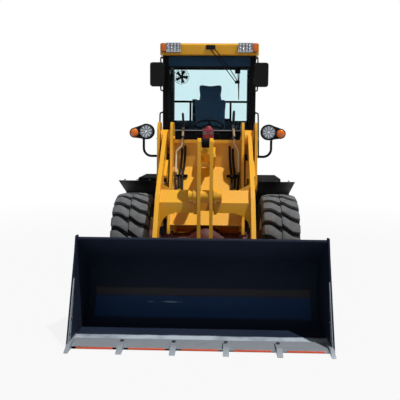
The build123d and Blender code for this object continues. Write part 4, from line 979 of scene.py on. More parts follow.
@dataclass
class Wheels(Assembly):
    """The four wheels: lugged tyres and bolted rims."""

    radius: float = 0.5375
    width: float = 0.400
    bead: float = 0.2545
    lugs: int = 21
    tread: float = 0.030
    lug_edge: float = 0.004
    studs: int = 10
    stud_ring: float = 0.137
    cap_bolts: int = 6
    cap_ring: float = 0.074

    LUG_ANGLE = 30.0
    TYRE_ANGLE = 40.0

    def carcass(self) -> bpy.types.Object:
        """Turn the tyre body about the wheel axis.

        Returns:
            The body, centred on the origin.
        """
        half = self.width / 2
        crown = self.radius - self.tread
        side = (
            # across, radius
            (half - 0.034, self.bead),
            (half - 0.024, self.bead + 0.012),
            (half - 0.012, self.bead + 0.016),
            (half - 0.006, self.bead + 0.030),
            (half - 0.001, self.bead + 0.070),
            (half, self.bead + 0.120),
            (half - 0.002, self.bead + 0.160),
            (half - 0.003, self.bead + 0.163),
            (half - 0.001, self.bead + 0.167),
            (half - 0.003, self.bead + 0.171),
            (half - 0.008, crown - 0.055),
            (half - 0.022, crown - 0.024),
            (half - 0.050, crown - 0.008),
            (half - 0.100, crown),
        )
        profile = [(x, 0.0, r) for x, r in side] + [(-x, 0.0, r) for x, r in reversed(side)]
        profile.append(profile[0])
        return Bench.turned("tyre_body", profile, (0, 0, 0), (1, 0, 0), 96)

    def lug(self, side: Side, turn: float) -> bpy.types.Object:
        """One bar of the tread, bent round the tyre.

        Args:
            side: Which half of the tread it starts from.
            turn: Its place round the wheel, in radians.

        Returns:
            The lug.
        """
        sign, half = side.value, self.width / 2
        crown = self.radius - self.tread
        rows = (
            # across, drift along the tread, half breadth, top, base
            (-0.003, -0.052, 0.048, self.radius - 0.001, crown - 0.012),
            (-0.030, -0.040, 0.053, self.radius, crown - 0.012),
            (-0.072, -0.006, 0.054, self.radius - 0.001, crown - 0.012),
            (-0.110, 0.018, 0.056, self.radius - 0.004, crown - 0.014),
            (-0.140, 0.026, 0.056, self.radius - 0.009, crown - 0.022),
            (-half + 0.022, 0.030, 0.053, self.radius - 0.020, crown - 0.045),
            (-half + 0.004, 0.032, 0.050, self.radius - 0.052, crown - 0.075),
            (-half + 0.002, 0.033, 0.042, self.radius - 0.088, crown - 0.085),
        )
        verts: list[tuple[float, float, float]] = []
        faces: list[tuple[int, ...]] = []
        for x, drift, breadth, top, base in rows:
            for along, reach in ((-1.04, base), (-0.92, top), (0.92, top), (1.04, base)):
                angle = turn + (sign * drift + along * breadth) / self.radius
                verts.append((-sign * x, -math.sin(angle) * reach, math.cos(angle) * reach))
        for row in range(len(rows) - 1):
            a = row * 4
            faces.extend((a + i, a + j, a + j + 4, a + i + 4) for i, j in ((0, 1), (1, 2), (2, 3), (3, 0)))
        last = (len(rows) - 1) * 4
        faces.append((0, 3, 2, 1))
        faces.append((last, last + 1, last + 2, last + 3))
        return Bench.raw("lug", verts, [], faces)

    def tyre(self) -> bpy.types.Object:
        """Join the tyre's body and its lugs.

        Returns:
            The tyre, centred on the origin.
        """
        parts = []
        for side in Side:
            shift = 0.5 if side is Side.RIGHT else 0.0
            parts += [self.lug(side, (index + shift) * math.tau / self.lugs) for index in range(self.lugs)]
        tread = Bench.join("tread", parts)
        Bench.edit(tread)
        bpy.ops.mesh.normals_make_consistent(inside=False)
        bpy.ops.object.mode_set(mode="OBJECT")
        Bench.round_edges(tread, self.lug_edge, self.LUG_ANGLE)
        body = self.carcass()
        self.shop.dress(body, "tyre rubber")
        # the lugs take the grey of dust and painted sunlight
        self.shop.dress(tread, "tread rubber")
        return Bench.settle(Bench.join("tyre", [body, tread]), "tyre", self.TYRE_ANGLE)

    def rim(self) -> bpy.types.Object:
        """The dished rim with its lock ring, studs, nuts and hub.

        Returns:
            The rim, centred on the origin.
        """
        half = self.width / 2
        profile = (
            # across, radius
            (-half + 0.034, self.bead - 0.004),
            (-half + 0.014, self.bead + 0.012),
            (-half + 0.012, self.bead - 0.004),
            (-half + 0.020, self.bead - 0.014),
            (-half + 0.090, self.bead - 0.030),
            (0.050, self.bead - 0.034),
            (0.046, 0.190),
            (0.030, 0.172),
            (0.030, 0.100),
            (0.012, 0.098),
            (0.012, 0.060),
        )
        back = (
            (0.128, 0.0),
            (0.130, 0.030),
            (0.124, 0.056),
            (0.110, 0.064),
            (0.108, 0.084),
            (0.072, 0.092),
            (0.046, 0.096),
            (0.044, 0.172),
            (0.064, 0.192),
            (0.070, 0.216),
            (half - 0.070, self.bead - 0.030),
            (half - 0.022, self.bead - 0.016),
            (half - 0.012, self.bead - 0.006),
            (half - 0.010, self.bead + 0.010),
            (half - 0.016, self.bead + 0.014),
            (half - 0.030, self.bead - 0.002),
        )
        inner = Bench.turned("rim_inner", [(x, 0.0, r) for x, r in profile], (0, 0, 0), (1, 0, 0), 72)
        outer = Bench.turned("rim_outer", [(x, 0.0, r) for x, r in back], (0, 0, 0), (1, 0, 0), 72)
        parts = [inner, outer]
        self.shop.dress(inner, "yellow paint")
        self.shop.dress(outer, "yellow paint")
        for index in range(self.studs):
            angle = math.tau * index / self.studs
            y, z = math.cos(angle) * self.stud_ring, math.sin(angle) * self.stud_ring
            nut = Bench.bar("nut", (0.040, y, z), (0.062, y, z), 0.015, 0.002, 6)
            stud = Bench.bar("stud", (0.060, y, z), (0.074, y, z), 0.009, 0.002, 16)
            self.shop.dress(nut, "pin steel")
            self.shop.dress(stud, "pin steel")
            parts.extend((nut, stud))
        for index in range(self.cap_bolts):
            angle = math.tau * index / self.cap_bolts
            y, z = math.cos(angle) * self.cap_ring, math.sin(angle) * self.cap_ring
            bolt = Bench.bar("bolt", (0.106, y, z), (0.116, y, z), 0.007, 0.001, 6)
            self.shop.dress(bolt, "pin steel")
            parts.append(bolt)
        return Bench.settle(Bench.join("rim", parts), "rim")

    def build(self) -> None:
        """Model one tyre and rim, then copy them to the four wheels."""
        tyre, rim = self.tyre(), self.rim()
        for end, side in ((end, side) for end in ("front", "rear") for side in Side):
            name = f"{end}_{side.label}"
            low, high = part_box(f"tyre_{name}")
            facing = 0 if side is Side.RIGHT else math.pi
            spot = Matrix.Translation((low + high) / 2) @ Matrix.Rotation(facing, 4, "Z")
            for source, kind, slot in ((tyre, "tyre", "tyre"), (rim, "rim", "body_yellow")):
                made = Bench.copy(source, f"{kind}_{name}_dressed", spot)
                self.keep(made, f"wheel_{name}", slot, (f"{kind}_{name}",))
        for source in (tyre, rim):
            bpy.data.objects.remove(source)


# ---------------------------------------------------------------- fittings


@dataclass(frozen=True)
class Places:
    """Reference places on the machine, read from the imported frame."""

    lip: float
    front_axle: float
    rear_axle: float
    cab_front: float
    cab_rear: float
    roof_front: float
    top: float

    LIP_TO_AXLE = 2.0

    @classmethod
    def read(cls) -> Places:
        """Work the places out from the boxes of the nodes.

        Returns:
            The places, in metres.
        """
        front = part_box("tyre_front_left")
        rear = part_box("tyre_rear_left")
        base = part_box("cab_base")
        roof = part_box("cab_roof")
        axle = (front[0][1] + front[1][1]) / 2
        return cls(
            lip=axle - cls.LIP_TO_AXLE,
            front_axle=axle,
            rear_axle=(rear[0][1] + rear[1][1]) / 2,
            cab_front=base[0][1],
            cab_rear=base[1][1],
            roof_front=roof[0][1],
            top=roof[1][2],
        )


def bucket_finish(lip: float) -> Finish:
    """The bucket's paint: worn bare steel near the lip, lightened and sized as a painted sunlit patch, a painted blue
    reflection belt, a thin lighter line above it and a short bright streak in it.

    Args:
        lip: Place of the lip along Y.

    Returns:
        The finish.
    """
    return Finish(
        "bucket paint",
        srgb(27, 34, 49),
        srgb(32, 40, 57),
        0.55,
        0.16,
        ior=1.20,
        tone_scale=1.3,
        mark_amount=0.4,
        mark_threshold=0.70,
        mark=srgb(150, 158, 168),
        zones=(
            # painted reflection: the blue belt low on the bucket's back
            Zone(srgb(34, 64, 104), (0.0, lip + 0.78, 0.135), (1.00, 0.20, 0.082), 0.008, 0.012, 0.80),
            Zone(srgb(66, 62, 66), (0.0, lip + 0.87, 0.253), (1.00, 0.12, 0.034), 0.010, 0.020, 0.85),
            Zone(srgb(150, 162, 178), (-0.34, lip + 0.83, 0.166), (0.17, 0.05, 0.0030), 0.003, 0.045, 0.6),
            # worn bare steel at the lip, lightened and reaching back to where the rim's shadow starts: partly painted
            # sunlight
            Zone(srgb(170, 180, 190), (0.0, lip + 0.02, 0.0), (1.20, 0.31, 0.024), 0.014, 0.05, 0.95),
        ),
    )


MIRROR_X = Matrix.Diagonal((-1.0, 1.0, 1.0, 1.0))


def spokes(count: int, shift: float = 0.0) -> Iterable[tuple[Vector, Vector]]:
    """Directions spread evenly round the Y axis.

    Args:
        count: How many.
        shift: Turn of the first one, as a share of the step.

    Returns:
        The direction outwards and the one across it, for each.
    """
    for index in range(count):
        angle = math.tau * (index + shift) / count
        yield Vector((math.cos(angle), 0, math.sin(angle))), Vector((-math.sin(angle), 0, math.cos(angle)))


def corners(one: Point, other: Point) -> tuple[Point, Point]:
    """Sort two opposite corners of a box.

    Args:
        one: A corner.
        other: The corner across from it.

    Returns:
        The lowest and the highest corner.
    """
    return tuple(map(min, one, other)), tuple(map(max, one, other))


@dataclass
class Fittings(Assembly):
    """Common ground of the fitted assemblies: places and the two-sided helpers."""

    places: Places | None = None

    WASHER = 1.35  # washer's radius, in heads

    def part(self, piece: bpy.types.Object, finish: str) -> bpy.types.Object:
        """Dress a piece.

        Args:
            piece: The piece.
            finish: Name of its finish.

        Returns:
            The same piece.
        """
        self.shop.dress(piece, finish)
        return piece

    def both(
        self, name: str, parts: Sequence[bpy.types.Object], body: str, slot: str, replaces: Sequence[str] = ()
    ) -> None:
        """Join parts made on the +X side and add their mirror image.

        Args:
            name: Name of the pieces.
            parts: The parts.
            body: The body that they ride on.
            slot: The record's material slot.
            replaces: CAD nodes that the pair stands for.
        """
        right = Bench.join(f"{name}_right", parts)
        left = Bench.copy(right, f"{name}_left", MIRROR_X)
        self.keep(right, body, slot, replaces)
        self.keep(left, body, slot)

    def hexes(self, spots: Iterable[Point], axis: Point, radius: float, height: float) -> list[bpy.types.Object]:
        """Hexagon bolt heads with washers.

        Args:
            spots: Centre of each head's seat.
            axis: Direction in which they stand.
            radius: Radius of the heads.
            height: Height of the heads.

        Returns:
            The parts.
        """
        made = []
        up = Vector(axis).normalized()
        for spot in spots:
            seat = Vector(spot)
            washer = Bench.bar("washer", seat - up * 0.001, seat + up * 0.003, radius * self.WASHER, 0.0006, 24)
            head = Bench.bar("head", seat + up * 0.002, seat + up * (0.002 + height), radius, 0.0014, 6)
            made.extend((self.part(washer, "pin steel"), self.part(head, "pin steel")))
        return made


@dataclass
class BucketTrim(Fittings):
    """Tooth bolts, primer strips below the lip and bare side cutters whose bright steel also stands for painted
    sunlight on the front of the side plates.
    """

    teeth: int = 6
    half_width: float = 1.075
    wall: float = 0.014
    tooth_width: float = 0.046
    strap_top: float = 0.040
    bolt_behind: float = 0.085
    strip_half: float = 0.148

    def tooth_places(self) -> list[float]:
        """The middle of each tooth along X."""
        span = 2 * self.half_width - self.tooth_width
        return [-span / 2 + index * span / (self.teeth - 1) for index in range(self.teeth)]

    def build(self) -> None:
        """Make the bucket's trim."""
        at, spots = self.places, self.tooth_places()
        bolts = self.hexes(
            [(x, at.lip + self.bolt_behind, self.strap_top) for x in spots[1:-1]], (0, 0, 1), 0.017, 0.013
        )
        self.keep(Bench.join("tooth_bolts", bolts), "bucket", "bare_steel")
        strips = []
        for before, after in zip(spots, spots[1:]):
            middle = (before + after) / 2
            strip = Bench.block(
                "strip",
                (middle - self.strip_half, at.lip - 0.008, 0.006),
                (middle + self.strip_half, at.lip + 0.001, 0.020),
                0.0015,
            )
            strips.append(self.part(strip, "orange primer"))
        self.keep(Bench.join("lip_strips", strips), "bucket", "bucket_black")
        # The side cutter's tapering bare-steel strip doubles as painted sunlight on the front of the side plate's inner
        # face.
        inner = self.half_width - self.wall
        outline = [
            (inner - 0.005, at.lip + y, z)
            for y, z in ((0.012, 0.050), (0.118, 0.270), (0.232, 0.520), (0.262, 0.520), (0.190, 0.300), (0.098, 0.050))
        ]
        cutter = self.part(Bench.plate("cutter", outline, (0.005, 0, 0), 0.0012), "worn steel")
        heads = self.hexes(
            [(inner - 0.005, at.lip + y, z) for y, z in ((0.070, 0.100), (0.128, 0.220))], (-1, 0, 0), 0.011, 0.008
        )
        self.both("side_cutter", [cutter, *heads], "bucket", "bare_steel")


@dataclass
class FrontFittings(Fittings):
    """Port block, mud flaps, steel pipes, hoses and clamps on the front frame."""

    pipe_radius: float = 0.0125
    hose_radius: float = 0.0135
    ahead: float = 0.034
    plate_foot: tuple = (-0.100, 0.735)
    plate_knee: tuple = (0.480, 1.350)
    block_behind: float = 0.530
    block_foot: float = 1.585
    block_head: float = 1.800
    elbow_x: float = 0.128
    flap_inner: float = 0.420
    flap_drop: float = 0.290
    flap_bolts: int = 5
    pipe_top: float = 1.8
    upper_clamp: float = 1.700
    lower_clamp: tuple = (0.290, 1.250)

    def face(self, z: float, gap: float = 0.0) -> float:
        """Place along Y just ahead of the front frame's sloped plate at height z.

        Args:
            z: Height.
            gap: Room to leave beyond the usual one.

        Returns:
            The place along Y.
        """
        (y0, z0), (y1, z1) = self.plate_foot, self.plate_knee
        share = min(max((z - z0) / (z1 - z0), 0.0), 1.0)
        return self.places.front_axle + y0 + (y1 - y0) * share - self.ahead - gap

    def run(self, points: Iterable[tuple[float, float]], gap: float = 0.0) -> list:
        """Turn (x, z) points into a route over the plate."""
        return [(x, self.face(z, gap), z) for x, z in points]

    def clamp(self, x: float, z: float, half: float) -> bpy.types.Object:
        """A clamp bar across two lines, with its bolt.

        Args:
            x: Its middle along X.
            z: Its height.
            half: Half its length.

        Returns:
            The clamp.
        """
        y = self.face(z)
        bar = Bench.block("bar", (x - half, y - 0.020, z - 0.014), (x + half, y + 0.030, z + 0.014), 0.003)
        parts = [self.part(bar, "black paint"), *self.hexes([(x, y - 0.020, z)], (0, -1, 0), 0.008, 0.006)]
        return Bench.join("clamp", parts)

    def union(self, x: float, y: float, z: float) -> bpy.types.Object:
        """A pair of hexagon unions where a pipe meets a hose.

        Args:
            x: Place along X.
            y: Place along Y.
            z: Height of the joint between them.

        Returns:
            The pair.
        """
        low = Bench.bar("nut", (x, y, z - 0.024), (x, y, z - 0.002), 0.019, 0.002, 6)
        high = Bench.bar("nut", (x, y, z + 0.002), (x, y, z + 0.020), 0.017, 0.002, 6)
        return Bench.join("union", [self.part(low, "pin steel"), self.part(high, "pin steel")])

    def manifold(self) -> None:
        """The tilt line's port block on top of the front frame, with its fittings."""
        y, foot, head = self.places.front_axle + self.block_behind, self.block_foot, self.block_head
        dome = [
            (0.010 + r, y + 0.055, head + h)
            for r, h in ((0.0, 0.034), (0.026, 0.030), (0.040, 0.012), (0.044, -0.004), (0.0, -0.004))
        ]
        parts = [
            self.part(Bench.block("body", (-0.062, y, foot + 0.040), (0.070, y + 0.110, head), 0.012, 3), "port red"),
            self.part(
                Bench.block("bracket", (-0.150, y + 0.020, foot), (0.160, y + 0.095, foot + 0.040), 0.004),
                "black paint",
            ),
            self.part(Bench.turned("cap", dome, (0.010, y + 0.055, head), (0, 0, 1), 32), "port red"),
            *self.hexes([(x, y, head - 0.050) for x in (-0.036, 0.044)], (0, -1, 0), 0.017, 0.014),
        ]
        middle = y + 0.050
        for side in Side:
            x, bend, end = (side.value * v for v in (self.elbow_x, self.elbow_x + 0.006, self.elbow_x + 0.008))
            route = (
                (x * 0.55, middle, head - 0.060), (x, middle, head - 0.058), (bend, middle, head - 0.066),
                (end, middle, foot + 0.030),
            )
            parts.append(self.part(Bench.pipe("elbow", route, 0.012), "black paint"))
            nut = Bench.bar("nut", (end, middle, foot + 0.042), (end, middle, foot + 0.078), 0.018, 0.002, 6)
            parts.append(self.part(nut, "polished rod"))
        self.keep(Bench.join("tilt_port_block", parts), "front", "iron_yellow")

    def flaps(self) -> None:
        """Rubber flaps that hang from the rear edges of the front fenders."""
        low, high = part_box("front_fenders")
        inner, outer = self.flap_inner, high[0] - 0.020
        back, hem = high[1] + 0.0005, low[2] - self.flap_drop
        outline = (
            (inner, hem + 0.030), (inner + 0.030, hem), (outer - 0.030, hem), (outer, hem + 0.030),
            (outer, low[2] + 0.045), (inner, low[2] + 0.045),
        )
        sheet = self.part(Bench.plate("sheet", [(x, back, z) for x, z in outline], (0, 0.008, 0), 0.002), "hose rubber")
        strap = self.part(
            Bench.block("strap", (inner, back + 0.008, low[2] + 0.010), (outer, back + 0.013, low[2] + 0.038), 0.0015),
            "black paint",
        )
        last = self.flap_bolts - 1
        steps = [inner + 0.050 + (outer - inner - 0.100) * index / last for index in range(self.flap_bolts)]
        heads = self.hexes([(x, back + 0.013, low[2] + 0.024) for x in steps], (0, 1, 0), 0.009, 0.006)
        self.both("mud_flap", [sheet, strap, *heads], "front", "black_plastic")

    def build(self) -> None:
        """Fit out the front frame."""
        self.manifold()
        self.flaps()
        routes = {
            Side.LEFT: (
                (-0.288, 1.800), (-0.298, 1.640), (-0.302, 1.600), (-0.318, 1.580), (-0.362, 1.535), (-0.370, 1.520),
                (-0.370, 1.480), (-0.370, 1.280),
            ),
            Side.RIGHT: (
                (0.300, 1.830), (0.318, 1.650), (0.320, 1.620), (0.332, 1.600), (0.360, 1.550), (0.368, 1.530),
                (0.368, 1.490), (0.368, 1.285),
            ),
        }
        for side, points in routes.items():
            sign = side.value
            # the pipes' cream is painted sun glare on yellow steel
            pipe = self.part(Bench.pipe("pipe", self.run(points), self.pipe_radius), "pipe primer")
            (x0, z0), foot, y0 = points[0], points[-1], self.face(self.pipe_top)
            unions = (self.union(foot[0], self.face(foot[1]), foot[1] - 0.010), self.union(x0, y0, z0))
            parts = [pipe, *unions, self.clamp(x0, self.upper_clamp, 0.030)]
            self.keep(Bench.join(f"boom_pipe_{side.label}", parts), "front", "body_yellow")
            hoses = []
            for x, top, low in ((sign * 0.262, 1.600, 1.080), (sign * 0.300, 1.570, 1.120)):
                route = self.run(
                    (
                        (x, top), (x, top - 0.100), (x + sign * 0.012, 1.350), (x + sign * 0.030, 1.220),
                        (x + sign * 0.020, low),
                    )
                )
                hoses.append(self.part(Bench.pipe("hose", route, self.hose_radius), "hose rubber"))
            drop = self.run(
                (
                    (foot[0], foot[1] - 0.030), (foot[0], 1.200), (foot[0] - sign * 0.020, 1.060),
                    (foot[0] - sign * 0.060, 0.960),
                )
            )
            hoses.append(self.part(Bench.pipe("hose", drop, self.hose_radius), "hose rubber"))
            arch = [
                (x0, y0, z0 + 0.020),
                (x0, y0, z0 + 0.130),
                (x0 + sign * 0.010, y0 + 0.050, z0 + 0.190),
                (x0 + sign * 0.010, y0 + 0.130, z0 + 0.120),
                (x0, y0 + 0.140, z0 - 0.100),
                (x0, y0 + 0.140, z0 - 0.220),
            ]
            hoses.append(self.part(Bench.pipe("hose", arch, self.hose_radius), "hose rubber"))
            hoses.append(self.clamp(sign * self.lower_clamp[0], self.lower_clamp[1], 0.062))
            self.keep(Bench.join(f"front_hoses_{side.label}", hoses), "front", "black_plastic")


@dataclass
class Lamps(Fittings):
    """Head lamps, roof lamps, indicators and tail lamps."""

    head_x: float = 0.700
    head_z: float = 1.760
    head_face: float = 0.245
    beam_radius: float = 0.076
    turn_x: float = 0.836
    turn_radius: float = 0.046
    turn_drop: float = 0.015
    ribs: int = 10
    work_x: tuple = (0.372, 0.535)
    work_drop: tuple = (0.116, 0.011)
    cells: tuple = (4, 3)
    marker_x: tuple = (0.549, 0.609)
    tail_x: tuple = (0.524, 0.596)

    def dish(self, name: str, profile: Sequence[tuple[float, float]], spot: Point, finish: str) -> bpy.types.Object:
        """Turn a lamp part about the Y axis.

        Args:
            name: Its name.
            profile: (distance from the axis, place along -Y) pairs.
            spot: Centre of the lamp's face.
            finish: Its finish.

        Returns:
            The dressed part.
        """
        x, y, z = spot
        points = [(x + radius, y - out, z) for radius, out in profile]
        return self.part(Bench.turned(name, points, spot, (0, 1, 0), 48), finish)

    def head(self) -> None:
        """Both head lamps, their indicators and shells."""
        y = self.places.front_axle + self.head_face
        shell = self.soften("headlamps", "black plastic", 0.006, "headlamp_shells")
        self.keep(shell, "front", "black_plastic", ("headlamps",))
        beam, turn = (self.head_x, y, self.head_z), (self.turn_x, y, self.head_z - self.turn_drop)
        big, small = self.beam_radius, self.turn_radius
        parts = [
            self.dish(
                "bezel",
                (
                    (big + 0.011, 0), (big + 0.011, 0.008), (big + 0.006, 0.014), (big, 0.014), (big, 0.004),
                    (big - 0.004, 0.001), (0, 0.001),
                ),
                beam,
                "black plastic",
            ),
            self.dish(
                "bowl",
                ((big - 0.001, 0.011), (big * 0.80, 0.0065), (big * 0.55, 0.0035), (big * 0.28, 0.0022), (0, 0.0020)),
                beam,
                "lamp bowl",
            ),
            self.dish(
                "bulb_cap",
                ((big * 0.20, 0.002), (big * 0.20, 0.007), (big * 0.13, 0.0095), (0, 0.0100)),
                beam,
                "lamp mirror",
            ),
            self.dish(
                "lens",
                ((big - 0.001, 0.011), (big * 0.90, 0.0150), (big * 0.60, 0.0200), (big * 0.30, 0.0224), (0, 0.0230)),
                beam,
                "lamp glass",
            ),
            self.dish(
                "turn_rim",
                (
                    (small + 0.009, 0), (small + 0.009, 0.006), (small + 0.004, 0.010), (small, 0.010), (small, 0.002),
                    (0, 0.002),
                ),
                turn,
                "black plastic",
            ),
            self.dish(
                "turn_lens",
                ((small, 0.002), (small, 0.012), (small * 0.86, 0.020), (small * 0.5, 0.026), (0, 0.028)),
                turn,
                "amber lens",
            ),
        ]
        for ray, across in spokes(self.ribs, 0.5):
            outline = [
                Vector(beam) + Vector((0, -0.0125, 0)) + ray * big * a + across * b
                for a, b in ((0.30, -0.0022), (0.86, -0.0050), (0.86, 0.0050), (0.30, 0.0022))
            ]
            parts.append(self.part(Bench.plate("rib", outline, (0, 0.006, 0), 0.0008), "lamp mirror"))
        self.both("headlamp", parts, "front", "lamp_glass")

    def roof(self) -> None:
        """The work lamps and markers on the front edge of the roof."""
        face, top = self.places.roof_front - 0.040, self.places.top
        shell = self.soften("roof_lamps", "black plastic", 0.003, "roof_lamp_shells")
        self.keep(shell, "rear", "black_plastic", ("roof_lamps",))
        low, high = ((x, top - drop) for x, drop in zip(self.work_x, self.work_drop))
        parts = [
            self.part(
                Bench.block("reflector", (low[0], face - 0.003, low[1]), (high[0], face + 0.004, high[1]), 0.001),
                "lamp bowl",
            )
        ]
        pitch = [(b - a) / count for a, b, count in zip(low, high, self.cells)]
        for column in range(self.cells[0]):
            for row in range(self.cells[1]):
                spot = (low[0] + (column + 0.5) * pitch[0], face - 0.003, low[1] + (row + 0.5) * pitch[1])
                ring = min(pitch) * 0.40
                parts.append(
                    self.dish(
                        "cell",
                        ((ring, 0.0), (ring, 0.004), (ring * 0.8, 0.0045), (ring * 0.5, 0.0015), (0, 0.0010)),
                        spot,
                        "lamp mirror",
                    )
                )
        for x0, x1, z0, z1 in (
            (low[0] - 0.008, high[0] + 0.008, high[1] - 0.002, high[1] + 0.006),
            (low[0] - 0.008, high[0] + 0.008, low[1] - 0.006, low[1] + 0.002),
            (low[0] - 0.008, low[0] + 0.001, low[1], high[1]),
            (high[0] - 0.001, high[0] + 0.008, low[1], high[1]),
        ):
            parts.append(
                self.part(Bench.block("bezel", (x0, face - 0.009, z0), (x1, face + 0.004, z1), 0.002), "polished rod")
            )
        near, far = self.marker_x
        marker = Bench.block("amber", (near, face - 0.006, top - 0.114), (far, face + 0.020, top - 0.013), 0.006, 3)
        parts.append(self.part(marker, "amber lens"))
        self.both("work_lamp", parts, "rear", "lamp_glass")

    def tail(self) -> None:
        """Lens blocks over the tail lamps."""
        low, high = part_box("tail_lamps")
        self.finish_node("tail_lamps", "black plastic")
        (x0, x1), back, middle = self.tail_x, high[1], (low[2] + high[2]) / 2
        parts = [
            self.part(
                Bench.block("stop", (x0, back - 0.002, low[2] + 0.004), (x1, back + 0.007, middle - 0.001), 0.003, 3),
                "red lens",
            ),
            self.part(
                Bench.block("turn", (x0, back - 0.002, middle + 0.001), (x1, back + 0.007, high[2] - 0.004), 0.003, 3),
                "amber lens",
            ),
        ]
        self.both("tail_lens", parts, "rear", "lamp_glass")

    def build(self) -> None:
        """Make all the lamps."""
        self.head()
        self.roof()
        self.tail()


@dataclass
class CabFittings(Fittings):
    """Glass, lining, mirrors, wipers, rails and what the driver handles."""

    half: float = 0.600
    floor: float = 1.210
    sill: float = 1.780
    header: float = 2.600
    levers: int = 2
    fan_rings: tuple = (0.098, 0.072, 0.044)
    fan_wire: float = 0.0026
    fan_spokes: int = 12
    fan_blades: int = 5

    def shell(self) -> None:
        """Finishes of the nodes that stay, and the mirrors."""
        for node in ("cab_glass", "door_glass_left", "door_glass_right"):
            self.finish_node(node, "cab glass")
        self.keep(self.soften("steering_column", "black plastic", 0.004), "rear", "black_plastic", ("steering_column",))
        self.keep(self.soften("mirrors", "black plastic", 0.004), "rear", "black_plastic", ("mirrors",))
        back, top = self.places.cab_front - 0.145, self.places.top
        pane = Bench.block("pane", (0.583, back - 0.001, top - 0.535), (0.727, back + 0.003, top - 0.275), 0.0015)
        self.both("mirror_pane", [self.part(pane, "lamp mirror")], "rear", "lamp_glass")

    def lining(self) -> None:
        """Dark panels inside: ceiling, dash, side boxes and floor mat."""
        front, rear, under, mat = self.places.cab_front, self.places.cab_rear, self.places.top - 0.150, self.floor
        blocks = (
            # name, lowest corner, highest corner, radius of its edges, steps across them
            ("ceiling", (-0.500, front + 0.085, under - 0.020), (0.500, rear - 0.085, under + 0.004), 0.006, 2),
            ("dash", (-0.520, front + 0.042, 1.640), (0.520, front + 0.230, 1.772), 0.030, 4),
            ("front_panel", (-0.555, front + 0.041, mat + 0.002), (0.555, front + 0.052, 1.700), 0.004, 2),
            ("back_panel", (-0.555, rear - 0.060, mat + 0.002), (0.555, rear - 0.041, 1.940), 0.004, 2),
            ("mat", (-0.550, front + 0.055, mat + 0.001), (0.550, rear - 0.065, mat + 0.010), 0.003, 2),
        )
        parts = [Bench.block(*row) for row in blocks]
        for side in Side:
            ends = corners((side.value * 0.330, front + 0.600, mat + 0.012), (side.value * 0.480, rear - 0.080, 1.690))
            parts.append(Bench.block("side_box", *ends, 0.020, 3))
        for piece in parts:
            self.part(piece, "cab lining")
        self.keep(Bench.join("cab_lining", parts), "rear", "black_plastic")

    def controls(self) -> None:
        """Loader levers and pedals."""
        front, parts = self.places.cab_front, []
        for index in range(self.levers):
            x = 0.375 + index * 0.060
            top = (x - 0.006, front + 0.650, 1.880)
            stem = Bench.pipe("stem", ((x, front + 0.680, 1.690), (x, front + 0.672, 1.790), top), 0.006)
            knob = ((0.0, -0.012), (0.012, -0.010), (0.017, 0.012), (0.016, 0.034), (0.009, 0.046), (0.0, 0.048))
            grip = Bench.turned("grip", [(top[0] + r, top[1], top[2] + h) for r, h in knob], top, (0, 0, 1), 24)
            parts.extend((self.part(stem, "pin steel"), self.part(grip, "black plastic")))
        for x in (-0.170, 0.130, 0.230):
            edges = ((-0.038, 0.150, 1.330), (0.038, 0.150, 1.330), (0.038, 0.215, 1.250), (-0.038, 0.215, 1.250))
            pedal = Bench.plate("pedal", [(x + a, front + b, z) for a, b, z in edges], (0, 0.010, 0.008), 0.003)
            arm = Bench.bar("arm", (x, front + 0.165, 1.320), (x, front + 0.060, 1.400), 0.008)
            parts.extend((self.part(pedal, "black plastic"), self.part(arm, "black paint")))
        self.keep(Bench.join("driver_controls", parts), "rear", "black_plastic")

    def fan(self) -> None:
        """The small fan under the header."""
        hub = Vector((-0.370, self.places.cab_front + 0.190, self.header - 0.105))
        fan = []
        for radius in self.fan_rings:
            Bench.clear()
            bpy.ops.mesh.primitive_torus_add(
                major_radius=radius, minor_radius=self.fan_wire, major_segments=40, minor_segments=8, location=hub,
                rotation=(math.pi / 2, 0, 0),
            )
            fan.append(self.part(Bench.settle(bpy.context.object, "guard"), "black paint"))
        for ray, _ in spokes(self.fan_spokes):
            rim = hub + ray * self.fan_rings[0]
            fan.append(self.part(Bench.bar("spoke", hub + Vector((0, -0.012, 0)), rim, 0.0018, 0.0, 8), "black paint"))
        for ray, across in spokes(self.fan_blades):
            outline = [
                hub + Vector((0, 0.006, 0)) + ray * a + across * b
                for a, b in ((0.014, -0.010), (0.080, -0.032), (0.086, 0.012), (0.018, 0.012))
            ]
            fan.append(self.part(Bench.plate("blade", outline, (0, 0.003, 0), 0.0008), "black plastic"))
        motor = Bench.bar("motor", hub + Vector((0, 0.004, 0)), hub + Vector((0, 0.075, 0)), 0.026, 0.004)
        fan.append(self.part(motor, "black plastic"))
        stem = Bench.bar("stem", hub + Vector((0, 0.050, 0.010)), hub + Vector((0, 0.050, 0.226)), 0.007)
        fan.append(self.part(stem, "black paint"))
        self.keep(Bench.join("cab_fan", fan), "rear", "black_plastic")

